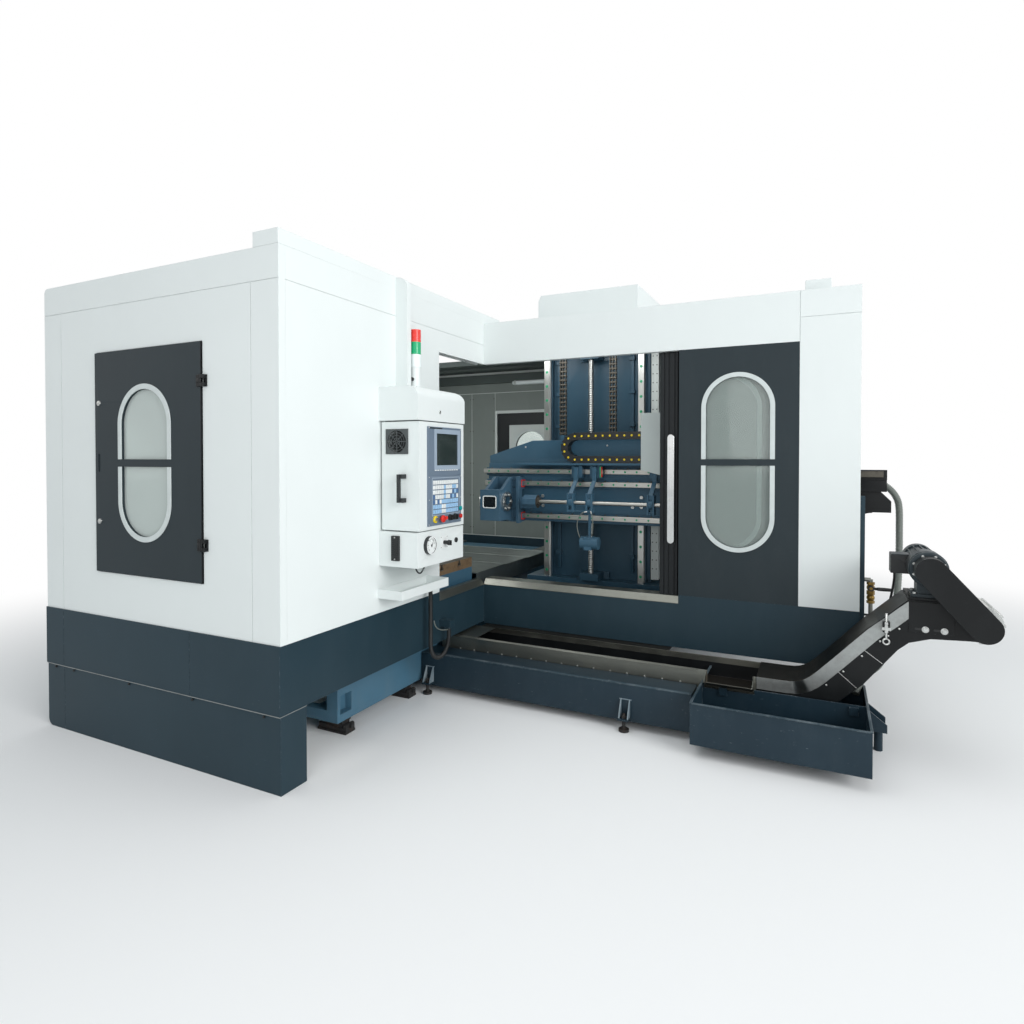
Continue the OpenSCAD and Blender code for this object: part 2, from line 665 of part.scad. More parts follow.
// ---- column ----
module rail_section(w, t) polygon([
  [-w / 2, 0], [w / 2, 0], [w / 2, t * 0.4], [w * 0.38, t * 0.5], [w * 0.38, t * 0.62],
  [w / 2, t * 0.74], [w / 2, t * 0.94], [w / 2 - 3, t], [-w / 2 + 3, t], [-w / 2, t * 0.94],
  [-w / 2, t * 0.74], [-w * 0.38, t * 0.62], [-w * 0.38, t * 0.5], [-w / 2, t * 0.4]]);
column_foot_z = 600;
module column() place() color("#33485A") {
  difference() {
    union() {
      block([col_x0 - 90, col_x1 + 90], [480, 1300], [foot_z, column_foot_z]);
      block([col_x0, col_x1], [pad_y + 42, 1150], [column_foot_z, col_top]);
      for (x = [rail_x, rail_x1])
        block([x - 30, x + 30], [pad_y, pad_y + 42], [column_foot_z, col_top]);
      // foot that joins the column to the bed
      block([bed_x1, col_x0 - 89], [620, 1100], [foot_z, 420]);
      // ledges beside the pads, with their clips
      for (x = [rail_x + 66, rail_x1 - 90]) {
        block([x, x + 24], [pad_y + 17, pad_y + 42], [column_foot_z + 60, col_top]);
        for (k = [0:6]) block([x - 8, x + 32], [pad_y + 5, pad_y + 42], [760 + k * 235, 785 + k * 235]);
      }
    }
    // open back with a cross rib
    for (z = [[700, 1500], [1560, col_top - 80]])
      block([col_x0 + 80, col_x1 - 80], [760, 1151], z);
    block([col_x0, col_x1], [560, 1220], [foot_z - 1, column_foot_z - 60]);
  }
  // crown with one arm for each chain
  for (s = [-1, 1]) block([col_mid + s * chain_dx - 50, col_mid + s * chain_dx + 50],
    [chain_y - 20, 760], [chain_top, chain_top + 70]);
  block([col_mid - chain_dx - 50, col_mid + chain_dx + 50], [640, 760], [col_top, chain_top + 70]);
  // motor over the screw
  translate([col_mid, screw_y, 0]) {
    block([-62, 62], [-62, 62], [screw_top + 80, screw_top + 300]);
    rod_z(0, 0, [screw_top + 300, screw_top + 380], 100);
  }
  // screw bearings at the top and the bottom
  for (z = [[screw_top, screw_top + 80], [column_foot_z, column_foot_z + 50]]) difference() {
    union() {
      block([col_mid - 70, col_mid + 70], [screw_y - 45, pad_y + 42], z);
      block([col_mid - 110, col_mid + 110], [pad_y + 20, pad_y + 42], z);
    }
    rod_z(col_mid, screw_y, [z[0] - 1, z[0] + 60], screw_d - 10 + 2 * run);
  }
}
module column_rails() place() color("#B9B7B0")
  for (x = [rail_x, rail_x1]) translate([x, pad_y, column_foot_z])
    linear_extrude(col_top - column_foot_z) mirror([0, 1]) rail_section(rail_w, rail_t);

screw_z = [column_foot_z + 50 + gap, screw_top - gap];
module lift_screw() place() color("#A8A59C") {
  rod_z(col_mid, screw_y, screw_z, screw_d);
  rod_z(col_mid, screw_y, [column_foot_z + 10, screw_top + 50], screw_d - 10);
}

// chain with side plates and a roller at each pitch
chain_pitch = 31.75;
chain_bottom = web_z + 36;
module lift_chains() place() color("#3A3833")
  for (s = [-1, 1]) translate([col_mid + s * chain_dx, chain_y, 0]) {
    for (x = [-23, -2.5, 18]) block([x, x + 5], [-12, 12], [chain_bottom, chain_top]);
    for (z = [chain_bottom + 12:chain_pitch:chain_top - 10]) rod_x([-27, 27], 0, z, 19);
  }

// ---- drilling beam ----
module carriage_block(x) translate([x, 0, 0]) difference() {
  block([-60, 60], [rail_y - 17, pad_y - 6], [-85, 85]);
  translate([0, pad_y, -86]) linear_extrude(172) mirror([0, 1]) rail_slot(rail_w, rail_t);
}
// the rail's section with clearance all round, open at its foot
module rail_slot(w, t) {
  c = gap;
  polygon([[-w / 2 - c, -1], [w / 2 + c, -1], [w / 2 + c, t * 0.4 + c], [w * 0.38 + c, t * 0.5 + c],
    [w * 0.38 + c, t * 0.62 - c], [w / 2 + c, t * 0.74 - c], [w / 2 + c, t + c],
    [-w / 2 - c, t + c], [-w / 2 - c, t * 0.74 - c], [-w * 0.38 - c, t * 0.62 - c],
    [-w * 0.38 - c, t * 0.5 + c], [-w / 2 - c, t * 0.4 + c]]);
}
saddle_top = axis_z + 355;
module beam() place() color("#3C5566") {
  difference() {
    union() {
      // main casting with its rail seats
      block([beam_x0 + 20, drill_w - 60], [beam_y + 12, beam_back], [beam_z0, beam_z1]);
      block([drill_w - 61, beam_x1], [beam_y + 12, beam_back], [axis_z + 105, beam_z1]);
      block([beam_x0 + 10, beam_x1], [beam_y, beam_y + 12], [top_rail_z - 32, top_rail_z + 26]);
      for (z = feed_rail_zs) block([beam_x0 + 10, drill_w - 60], [beam_y, beam_y + 12], [z - 32, z + 28]);
      // ledge for the drag chain
      block([120, drill_w - 60], [drag_y[0] - 8, beam_back], [ledge_z - 14, ledge_z]);
      block([beam_x0 + 20, drill_w - 60], [beam_y + 20, beam_back], [beam_z1 - 1, ledge_z]);
      // tall web above the rails
      along_y([beam_y + 32, beam_y + 72]) polygon([
        [beam_x0 + 21, ledge_z - 1], [beam_x0 + 21, axis_z + 320], [194, web_z],
        [drill_w - 100, web_z], [drill_w - 100, ledge_z - 1]]);
      // saddle on the column's rails
      block([rail_x - 70, rail_x1 + 70], [beam_back - 1, rail_y - 17], [beam_z0 + 40, saddle_top]);
      // nut housing
      block([col_mid - 65, col_mid + 65], [beam_back - 1, screw_y + 42], [axis_z - 30, axis_z + 110]);
      // eyes for the chains
      for (s = [-1, 1]) translate([col_mid + s * chain_dx, chain_y, 0])
        block([-14, 14], [-14, 12], [web_z - 1, chain_bottom]);
    }
    // channel and bore for the screw
    block([col_mid - 32, col_mid + 32], [beam_back, rail_y - 16], [axis_z + 110, saddle_top + 1]);
    block([col_mid - 32, col_mid + 32], [beam_back, rail_y - 16], [beam_z0 + 39, axis_z - 30]);
    rod_z(col_mid, screw_y, [beam_z0, saddle_top + 1], screw_d + 2 * run);
    // chamfer under the beam's left end
    along_y([beam_y - 1, beam_back + 1]) polygon([
      [beam_x0, beam_z0 - 1], [beam_x0 + 130, beam_z0 - 1], [beam_x0 + 18, beam_z0 + 110], [beam_x0, beam_z0 + 110]]);
    // pockets in the back of the beam
    for (k = [0:2]) block([1150 + k * 340, 1430 + k * 340], [beam_y + 50, beam_back + 1], [beam_z0 + 50, beam_z1 - 60]);
  }
  for (x = [rail_x, rail_x1]) for (z = [axis_z - 20, axis_z + 260]) translate([0, 0, z]) carriage_block(x);
  // plate under the tail
  along_y([beam_y + 30, beam_y + 36]) tail_plate();
}
module tail_plate() difference() {
  polygon([
    [drill_w - 62, axis_z + 106], [beam_x1 - 30, axis_z + 106], [beam_x1 + 24, axis_z + 50],
    [beam_x1 + 24, axis_z - 16], [beam_x1 - 70, axis_z - 16], [drill_w + 40, axis_z - 60],
    [drill_w - 62, axis_z - 60]]);
  translate([drill_w + 75, axis_z - 110]) circle(r = 90);
}
rail_run = [beam_x0, drill_w - 70];
module beam_rails() place() color("#B9B7B0") {
  for (z = concat(feed_rail_zs, [top_rail_z]))
    translate([0, beam_y, z]) along_x(z == top_rail_z ? [beam_x0, beam_x1 - 20] : [beam_x0 + 10, drill_w - 70])
      mirror([1, 0]) rotate(-90) rail_section(beam_rail_w, beam_rail_t);
}

// drag chain: a straight run on the ledge, a bend and a run back
module link() difference() {
  translate([-link_pitch / 2 - 3, -link_h / 2]) square([link_pitch + 2.6, link_h]);
  translate([link_pitch / 2 - 3.2, -link_h / 2 - 1]) square([4, 9]);
  translate([link_pitch / 2 - 3.2, link_h / 2 - 8]) square([4, 9]);
}
module link_solid() {
  along_y(drag_y) difference() {
    link();
    square([link_pitch - 14, link_h - 18], center = true);
  }
  for (y = drag_y) rod_y(0, [y - 0.5, y + 0.5], link_h / 2 - 9, 12);
  block([-link_pitch / 2 + 5, link_pitch / 2 - 8], [drag_y[0], drag_y[0] + 5], [-link_h / 2 + 5, link_h / 2 - 5]);
  block([-link_pitch / 2 + 5, link_pitch / 2 - 8], [drag_y[1] - 5, drag_y[1]], [-link_h / 2 + 5, link_h / 2 - 5]);
}
drag_z = ledge_z + link_h / 2;
module drag_chain() place() color("#1D2021") {
  for (k = [0:chain_links - 1]) {
    translate([chain_bend_x + link_pitch / 2 + k * link_pitch, 0, drag_z]) link_solid();
    translate([chain_bend_x + link_pitch / 2 + k * link_pitch, 0, drag_z + 2 * chain_bend_r])
      rotate([0, 180, 0]) link_solid();
  }
  for (k = [0:bend_steps - 1])
    translate([chain_bend_x, 0, drag_z + chain_bend_r])
      rotate([0, (k + 0.5) * 180 / bend_steps, 0])
        translate([0, 0, -chain_bend_r * cos(90 / bend_steps)]) link_solid();
}
cover_x = [1040, 1990];
module cover_outline() polygon([
  [cover_x[0], axis_z + 223], [cover_x[0] + 420, axis_z + 115], [cover_x[1], axis_z + 115],
  [cover_x[1], axis_z + 593], [cover_x[0], axis_z + 593]]);
module beam_cover() place() color("#B6C0BF") {
  along_y([225, 225 + sheet]) cover_outline();
  block([cover_x[0], cover_x[1]], [225, beam_y + 72], [axis_z + 593 - sheet, axis_z + 593]);
  block([cover_x[0], cover_x[0] + sheet], [225 + sheet, drag_y[0] - 10], [axis_z + 300, axis_z + 593 - sheet]);
  block([cover_x[0] + 40, cover_x[1]], [beam_y + 68, beam_y + 72], [web_z, axis_z + 593 - sheet]);
}

// pressure head: chip box, feed blocks and guide bush on the lower rails
head_x0 = -75;
box_y = [slide_y + slide_t + 6, 214];
block_h = 84;
module small_block(x, z, w) translate([0, beam_y, z]) along_x([x - w / 2, x + w / 2]) difference() {
  translate([-beam_rail_t - 20, -block_h / 2]) square([beam_rail_t + 14, block_h]);
  mirror([1, 0]) rotate(-90) rail_slot(beam_rail_w, beam_rail_t);
}
plate_y = [beam_y - beam_rail_t - 44, beam_y - beam_rail_t - 20];
module drill_head() place() color("#46647A") {
  difference() {
    union() {
      block([head_x0, 79], box_y, [axis_z - 139, axis_z + 78]);
      block([head_x0 + 15, 147], plate_y, [axis_z - 160, axis_z + 165]);
      block([head_x0, 79], [box_y[1] - 1, plate_y[0] + 1], [axis_z - 110, axis_z + 60]);
      // two flared ribs from the plate to the box
      for (x = [head_x0 + 10, 55]) along_x([x, x + 24]) polygon([
        [plate_y[0] + 1, axis_z - 160], [plate_y[0] + 1, axis_z + 165], [plate_y[0] - 18, axis_z + 165],
        [box_y[0] + 50, axis_z + 78], [box_y[0] + 2, axis_z + 78], [box_y[0] + 2, axis_z - 139], [200, axis_z - 139]]);
      block([126, 147], [plate_y[0] - 34, plate_y[0]], [axis_z - 165, axis_z + 170]);
      rod_x([79, 96], axis_y, axis_z - 7, 138);
      rod_x([head_x0 - 18, head_x0], axis_y, axis_z - 7, 150);
      // bracket and guide block
      block([146, 232], [plate_y[0] - 10, plate_y[1]], [axis_z - 60, axis_z + 20]);
      translate([231, axis_y, axis_z]) rotate([0, 90, 0]) rotate(22.5) cylinder(d = 96, h = 99, $fn = 8);
      block([232, 300], [axis_y, plate_y[1]], [axis_z - 28, axis_z + 28]);
      rod_x([330, 345], axis_y, axis_z, 60);
    }
    // hollow of the chip box, open below and through its window
    block([head_x0 + 14, 65], [box_y[0] + 14, box_y[1] - 14], [axis_z - 140, axis_z + 64]);
    block([-47, 48], [box_y[0] - 1, box_y[0] + 15], [axis_z - 45, axis_z + 30]);
    rod_x([head_x0 - 19, 97], axis_y, axis_z, 70);
    rod_x([230, 346], axis_y, axis_z, drill_tube_d + 2 * run);
    for (z = [axis_z - 130, axis_z - 70, axis_z + 90, axis_z + 140]) for (x = [95, 118])
      rod_y(x, [plate_y[0] - 1, plate_y[0] + 9], z, 13);
  }
  // six bolts of the flange
  for (k = [0:5]) translate([96, axis_y, axis_z - 7]) rotate([k * 60, 0, 0]) translate([0, 54, 0])
    rotate([0, 90, 0]) cylinder(d = 17, h = 9, $fn = 6);
  for (z = feed_rail_zs) for (x = [-15, 98]) small_block(x, z, 96);
}

// ---- spindle, drill and rests ----
spindle_y = trail_y + 24 + 6;
spindle_d = 2 * (axis_y - spindle_y);
module spindle_carriage() place() color("#A9B5B3") {
  difference() {
    union() {
      // slide plate and blocks on the feed rails
      block([feed_x, feed_x + feed_len], plate_y, [axis_z - 165, axis_z + 108]);
      block([feed_x + 40, feed_x + 360], [spindle_y, plate_y[0] + 1], [axis_z - 105, axis_z + 100]);
      rod_x([feed_x - 30, feed_x + 41], axis_y, axis_z, spindle_d - 10);
      rod_x([feed_x + 359, feed_x + feed_len], axis_y, axis_z, spindle_d);
      block([feed_x + 420, feed_x + 560], [axis_y - 40, axis_y + 40], [axis_z + 40, axis_z + 96]);
    }
    rod_x([feed_x - 31, feed_x + 180], axis_y, axis_z, drill_tube_d + 14 + 2 * run);
  }
  for (z = feed_rail_zs) for (x = [feed_x + 80, feed_x + 520]) small_block(x, z, 110);
}
module drill_tube() place() color("#C9C6BE") {
  rod_x([232, feed_x + 175], axis_y, axis_z, drill_tube_d);
  rod_x([feed_x - 50, feed_x + 175], axis_y, axis_z, drill_tube_d + 14);
}
// where the link rod runs, from the drill axis
link_p = [-16, -55];
// a rest: block on the top rail, arm, clamp plates and a ring round the drill
module steady_rest(x, rod_d) translate([x, 0, 0]) {
  small_block(0, top_rail_z, 70);
  block([-38, 38], plate_y, [top_rail_z - 40, top_rail_z + 40]);
  along_x([-14, 14]) polygon([
    [plate_y[0] + 1, top_rail_z + 40], [plate_y[0] - 22, top_rail_z + 30], [plate_y[0] - 22, top_rail_z - 60],
    [axis_y - 14, axis_z + 62], [axis_y + 16, axis_z + 62], [plate_y[0] + 1, top_rail_z - 40]]);
  difference() {
    union() {
      for (s = [-24, 12]) along_x([s, s + 12]) translate([axis_y, axis_z]) square([46, 128], center = true);
      block([-12.1, 12.1], [axis_y - 14, axis_y + 16], [axis_z + 30, axis_z + 63]);
      block([-12.1, 12.1], [axis_y - 20, axis_y + 10], [axis_z - 62, axis_z - 46]);
      rod_x([-12.1, 12.1], axis_y, axis_z, 62);
    }
    rod_x([-25, 25], axis_y, axis_z, drill_tube_d + 2 * run);
    rod_x([-25, 25], axis_y + link_p[0], axis_z + link_p[1], rod_d);
  }
}
rest_rod_d = 8;
module steady_rest_a() place() color("#5A7A92") {
  steady_rest(rest_xs[0], rest_rod_d);
  // link rod that runs on through the other rests
  rod_x([rest_xs[0] - 24, rest_xs[1] + 34], axis_y + link_p[0], axis_z + link_p[1], rest_rod_d);
}
module steady_rest_b() place() color("#5A7A92") {
  steady_rest(rest_xs[1], rest_rod_d + 2 * run);
  // lubricating pump that hangs from this rest
  block([rest_xs[1] - 8, rest_xs[1] + 8], [axis_y - 8, axis_y + 8], [axis_z - 225, axis_z - 61]);
  rod_x([rest_xs[1] - 60, rest_xs[1] + 62], axis_y, axis_z - 266, 84);
  block([rest_xs[1] - 32, rest_xs[1] + 20], [axis_y - 36, axis_y + 36], [axis_z - 312, axis_z - 222]);
}
module steady_rest_c() place() color("#5A7A92") steady_rest(rest_xs[2], rest_rod_d + 2 * run);

// ---- operator panel ----
module head_side() difference() {
  rect([0, case_x + 10], [0, head_t]);
  translate([case_x + 10 - 60, head_t - 60]) difference() {
    square(61);
    circle(r = 60);
  }
}
module head_front() difference() {
  rect([case_y - 10, case_y + case_w + 17], [0, head_t]);
  translate([case_y + case_w + 17 - 50, head_t - 50]) difference() {
    square(51);
    circle(r = 50);
  }
}
head_base = case_z + case_h + seam;
module pendant_head() place() color("#E9EEED") {
  translate([0, 0, head_base]) intersection() {
    along_y([case_y - 10, case_y + case_w + 17]) head_side();
    along_x([0, case_x + 10]) head_front();
  }
  rod_z(panel_pin[0], panel_pin[1], [head_base - 20, head_base], pin_d);
  // duct for the cables, up to the roof
  along_y(duct_y) difference() {
    rect([0, 75], [head_base + head_t, cabin_h + 60]);
    translate([75 - 60, cabin_h]) difference() {
      square(61);
      circle(r = 60);
    }
  }
}

base_top = case_z - seam;
tray_z = 735;
module pendant_base() place() color("#E9EEED") {
  block([0, case_x + 7], [case_y - 10, case_y + case_w + 3], [base_top - base_t, base_top]);
  rod_z(panel_pin[0], panel_pin[1], [base_top, base_top + 20], pin_d);
  // air gauge, selector and port on the front
  x = case_x + 7;
  difference() {
    rod_x([x, x + 22], -1053, base_top - 74, 96);
    rod_x([x + 18, x + 23], -1053, base_top - 74, 84);
  }
  rod_x([x, x + 26], -902, base_top - 76, 22);
  rod_x([x, x + 6], -779, base_top - 76, 28);
  block([87, 134], [case_y - 24, case_y - 10], [base_top - 150, base_top - 20]);
  // tray under the panel
  difference() {
    block([0, 157], [-1170, -716], [tray_z, tray_z + 48]);
    block([sheet, 157 - sheet], [-1170 + sheet, -716 - sheet], [tray_z + sheet, tray_z + 49]);
  }
}
duct_y = [-1004, -966];
tower = [75, -925];
tower_z = head_base + head_t;
module signal_tower() place() {
  color("#E9EEED") {
    block([tower[0] - 34, tower[0] + 34], [tower[1] - 34, tower[1] + 34], [tower_z, tower_z + 18]);
    rod_z(tower[0], tower[1], [tower_z + 18, tower_z + 128], 56);
    rod_y(tower[0], [tower[1] - 40, tower[1] - 20], tower_z + 60, 20);
  }
  color("#E8EFEF") rod_z(tower[0], tower[1], [tower_z + 128, tower_z + 198], 60);
  color("#149A62") rod_z(tower[0], tower[1], [tower_z + 198, tower_z + 266], 60);
  color("#D63A30") rod_z(tower[0], tower[1], [tower_z + 266, tower_z + 334], 60);
}
fan_c = [111, case_z + 465];
fan_r = 58;
module pendant_case() place() color("#E9EEED") {
  x = [case_x0, bezel_x];
  y = [case_y, case_y + case_w];
  difference() {
    block(x, y, [case_z, case_z + case_h]);
    // bores for the swing pins
    for (z = [case_z, case_z + case_h])
      rod_z(panel_pin[0], panel_pin[1], [z - 15, z + 15], pin_d + 2 * run);
    // recess of the fan
    rod_y(fan_c[0], [y[0] - 1, y[0] + 40], fan_c[1], 2 * fan_r + 6);
  }
  // fan guard: a square rim, spokes and rings
  along_y([y[0] - 6, y[0]]) translate([fan_c[0], fan_c[1]]) difference() {
    union() {
      difference() {
        square([140, 131], center = true);
        circle(r = fan_r);
      }
      for (r = [20, 34, 48]) difference() {
        circle(r = r);
        circle(r = r - 3);
      }
      for (a = [0:45:135]) rotate(a) square([2 * fan_r + 2, 4], center = true);
    }
    circle(r = 4);
  }
  // motor of the fan
  difference() {
    rod_y(fan_c[0], [y[0] + 20, y[0] + 41], fan_c[1], 30);
    rod_y(fan_c[0], [y[0] + 19, y[0] + 32], fan_c[1], 6 + 2 * run);
  }
  // handle
  for (z = [case_z + 160, case_z + 284]) block([138, 168], [y[0] - 34, y[0]], [z - 11, z + 11]);
  block([138, 152], [y[0] - 44, y[0] - 26], [case_z + 149, case_z + 295]);
}
module fan_rotor() place() color("#2A2E2F") {
  rod_y(fan_c[0], [case_y + 3, case_y + 18], fan_c[1], 34);
  rod_y(fan_c[0], [case_y + 18, case_y + 30], fan_c[1], 6);
  for (k = [0:6]) translate([fan_c[0], case_y + 10, fan_c[1]]) rotate([0, k * 360 / 7, 0])
    translate([14, 0, 0]) rotate([38, 0, 0]) translate([0, -1, -10]) cube([fan_r - 16, 2, 20]);
}
panel_x = [bezel_x, bezel_x + 8];
function key_y(c) = bezel_y[0] + 44 + c * 21.5;
function key_z(r) = case_z + 82 + r * 26;
module control_panel() place() color("#7E8EA0") {
  x = panel_x[1];
  difference() {
    block(panel_x, bezel_y, [case_z + 20, case_z + 545]);
    block([x - 3, x + 1], [case_y + 149, case_y + 365], [case_z + 340, case_z + 510]);
    block([x - 1, x + 1], [bezel_y[0] - 1, bezel_y[1] + 1], [case_z + 283, case_z + 286]);
    for (p = control_bores) rod_x([x - 7, x + 1], p[0], p[1], 10 + 2 * run);
  }
  for (c = [0:9]) block([x, x + 2], [case_y + 132 + c * 24, case_y + 148 + c * 24], [case_z + 311, case_z + 319]);
  for (r = [0:6]) for (c = [0:11])
    block([x, x + 2.5], [key_y(c), key_y(c) + 17], [key_z(r), key_z(r) + 21]);
  // key switch in a ring, and a lamp
  rod_x([x, x + 6], case_y + 134, knob_z, 38);
  rod_x([x + 6, x + 14], case_y + 134, knob_z, 20);
  rod_x([x, x + 10], case_y + 237, knob_z, 20);
}
estop_p = [case_y + 185, knob_z];
mode_p = [case_y + 279, knob_z];
feed_p = [case_y + 333, knob_z];
stop_p = [case_y + 388, knob_z];
start_p = [case_y + 386, knob_z + 44];
control_bores = [estop_p, mode_p, feed_p, stop_p, start_p];
// a stem that leaves room in its bore for the button to be pressed
module stem(p, h) rod_x([panel_x[1] - 6.5 + press, panel_x[1] + h], p[0], p[1], 10);
module e_stop() place() color("#D63A30") {
  stem(estop_p, 14);
  translate([panel_x[1] + 13, estop_p[0], estop_p[1]]) rotate([0, 90, 0]) rotate_extrude() polygon([
    [0, 0], [14, 0], [20, 3], [20, 9], [17, 13], [10, 15], [0, 15]]);
}
module push_button(p) {
  stem(p, press + 1);
  rod_x([panel_x[1] + press + gap, panel_x[1] + 12], p[0], p[1], 24);
}
module stop_button() place() color("#D63A30") push_button(stop_p);
module start_button() place() color("#19A3A3") push_button(start_p);
module knob(p) {
  stem(p, 2);
  translate([panel_x[1] + gap, p[0], p[1]]) rotate([0, 90, 0]) cylinder(d1 = 34, d2 = 30, h = 12);
  block([panel_x[1] + 12, panel_x[1] + 24], [p[0] - 4, p[0] + 4], [p[1] - 14, p[1] + 14]);
}
module mode_knob() place() color("#1E2322") knob(mode_p);
module feed_knob() place() color("#1E2322") knob(feed_p);

// ---- chip conveyor ----
incline_x = 2010;
module conveyor_trough() place() color("#B5B5AC") {
  difference() {
    block([-130, 1800], [conv_y0, conv_y1], [conv_z, conv_z + conv_h]);
    block([-130 + sheet, 1801], [conv_y0 + sheet, conv_y1 - sheet], [conv_z + sheet, conv_z + conv_h + 1]);
    block([1552, 1783], [conv_y0 - 1, conv_y0 + sheet + 1], [conv_z + 40, conv_z + conv_h + 1]);
  }
  // pan that leads chips from under the drill into the trough
  along_x([20, 1290]) polygon([
    [conv_y1 - 15, conv_z + conv_h], [45, conv_z + conv_h], [474, 455], [474, 458],
    [45, conv_z + conv_h + 3], [conv_y1 - 15, conv_z + conv_h + 3]]);
  // plate over the tail
  block([-130, 130], [conv_y0, conv_y1 - 20], [conv_z + conv_h, conv_z + conv_h + 3]);
  // side chute with its two cheeks
  for (x = [1545, 1785]) along_x([x, x + sheet]) polygon([
    [conv_y0, conv_z + 40], [conv_y0, conv_z + conv_h], [conv_y0 - 80, conv_z + conv_h - 40], [conv_y0 - 80, conv_z + 74]]);
  along_x([1549, 1785]) polygon([
    [conv_y0, conv_z + 36], [conv_y0, conv_z + 40], [conv_y0 - 80, conv_z + 76], [conv_y0 - 80, conv_z + 72]]);
}
// the side outline of the rising body and its head
module conveyor_outline() {
  polygon([
    [1800, conv_z], [2100, conv_z], [2150, 232], [2195, 276], [2289, 365], [2435, 556],
    [2480, 596], [2566, 624], [2702, 632], [head_x, head_drum_z - drum_r + 14],
    [head_x - 10, head_drum_z + drum_r - 8], [2640, 800], [2473, 800], [2308, 641], [2069, 381],
    [2040, 352], [2000, conv_z + conv_h], [1800, conv_z + conv_h]]);
}
module conveyor_inner() polygon([
  [1799, conv_z + 6], [2096, conv_z + 6], [2146, 240], [2285, 372], [2431, 562], [2478, 603],
  [2566, 631], [2640, 638], [2640, 792], [2478, 792], [2312, 634], [2074, 375], [2044, 346], [2002, conv_z + conv_h - 6],
  [1799, conv_z + conv_h - 6]]);
module conveyor_housing() place() color("#22282A") {
  difference() {
    along_y([conv_y0, conv_y1]) conveyor_outline();
    along_y([conv_y0 + sheet, conv_y1 - sheet]) conveyor_inner();
    // space for the drum
    rod_y(head_x, [conv_y0 + 12, conv_y1 - 12], head_drum_z, 2 * drum_r + 6);
    block([2690, head_x + 100], [conv_y0 + 12, conv_y1 - 12], [560, 700]);
    rod_y(head_x, [conv_y0 - 1, conv_y1 + 1], head_drum_z, 30 + 2 * run);
  }
  // cheeks that carry the drum's axle
  for (y = [[conv_y0, conv_y0 + 10], [conv_y1 - 10, conv_y1]]) difference() {
    rod_y(head_x, y, head_drum_z, 120);
    rod_y(head_x, [y[0] - 1, y[1] + 1], head_drum_z, 30 + 2 * run);
  }
  // adjusting plate with two slotted bolts
  block([2478, 2660], [conv_y0 - 5, conv_y0], [650, 795]);
  for (x = [2545, 2620]) hex_y(x, [conv_y0 - 12, conv_y0 - 5], 668, 20);
  // tensioner eye
  block([2370, 2400], [conv_y0 - 24, conv_y0], [640, 690]);
  rod_z(2385, conv_y0 - 14, [600, 720], 10);
  rod_y(2385, [conv_y0 - 18, conv_y0 - 10], 596, 22);
  // motor seat
  block([2478, 2650], [conv_y0 + 10, conv_y1 - 10], [800, 812]);
  // legs in the tank
  for (x = [1850, 2060]) for (y = [conv_y0, conv_y1 - 30]) block([x, x + 30], [y, y + 30], [tank_floor, conv_z + 1]);
  // guard over the drive chain
  difference() {
    along_y([conv_y0 - 90, conv_y0 - 5]) guard_outline(guard_r);
    along_y([conv_y0 - 90 + sheet, conv_y0 - 4]) guard_outline(guard_r - sheet);
  }
}
module conveyor_drum() place() color("#8A9094") {
  rod_y(head_x, [conv_y0 + 13, conv_y1 - 13], head_drum_z, 2 * drum_r - 14);
  rod_y(head_x, [conv_y0 - 30, conv_y1 + 20], head_drum_z, 30);
  for (k = [0:11]) rotate_about([head_x, head_drum_z], k * 30)
    block([head_x - 6, head_x + 6], [conv_y0 + 20, conv_y1 - 20], [head_drum_z + drum_r - 9, head_drum_z + drum_r]);
}
module rotate_about(c, a) translate([c[0], 0, c[1]]) rotate([0, a, 0]) translate([-c[0], 0, -c[1]]) children();
module guard_outline(r) {
  d = [head_x - motor_c[0], head_drum_z - motor_c[1]];
  translate([head_x, head_drum_z]) circle(r = r);
  translate(motor_c) circle(r = r);
  translate((motor_c + [head_x, head_drum_z]) / 2) rotate(atan2(d[1], d[0])) square([norm(d), 2 * r], center = true);
}
module gearmotor() place() color("#4B5559") {
  m = motor_c;
  // foot
  block([m[0] - 70, m[0] + 70], [conv_y0 + 20, conv_y0 + 150], [812, 828]);
  difference() {
    union() {
      block([m[0] - 45, m[0] + 45], [conv_y0 + 30, conv_y0 + 140], [827, m[1]]);
      rod_y(m[0], [conv_y0 + 10, conv_y0 + 150], m[1], 160);
      rod_y(m[0], [conv_y0 + 149, conv_y0 + 400], m[1], 128);
      for (k = [0:15]) rotate_about(m, k * 22.5)
        block([m[0] - 2, m[0] + 2], [conv_y0 + 170, conv_y0 + 360], [m[1] + 60, m[1] + 74]);
      rod_y(m[0], [conv_y0 + 370, conv_y0 + 430], m[1], 146);
      block([m[0] - 140, m[0] - 55], [conv_y0 + 190, conv_y0 + 290], [m[1] - 55, m[1] + 40]);
    }
  }
  rod_y(m[0], [conv_y0 - 60, conv_y0 + 11], m[1], 30);
  rod_y(m[0], [conv_y0 - 50, conv_y0 - 30], m[1], 80);
}

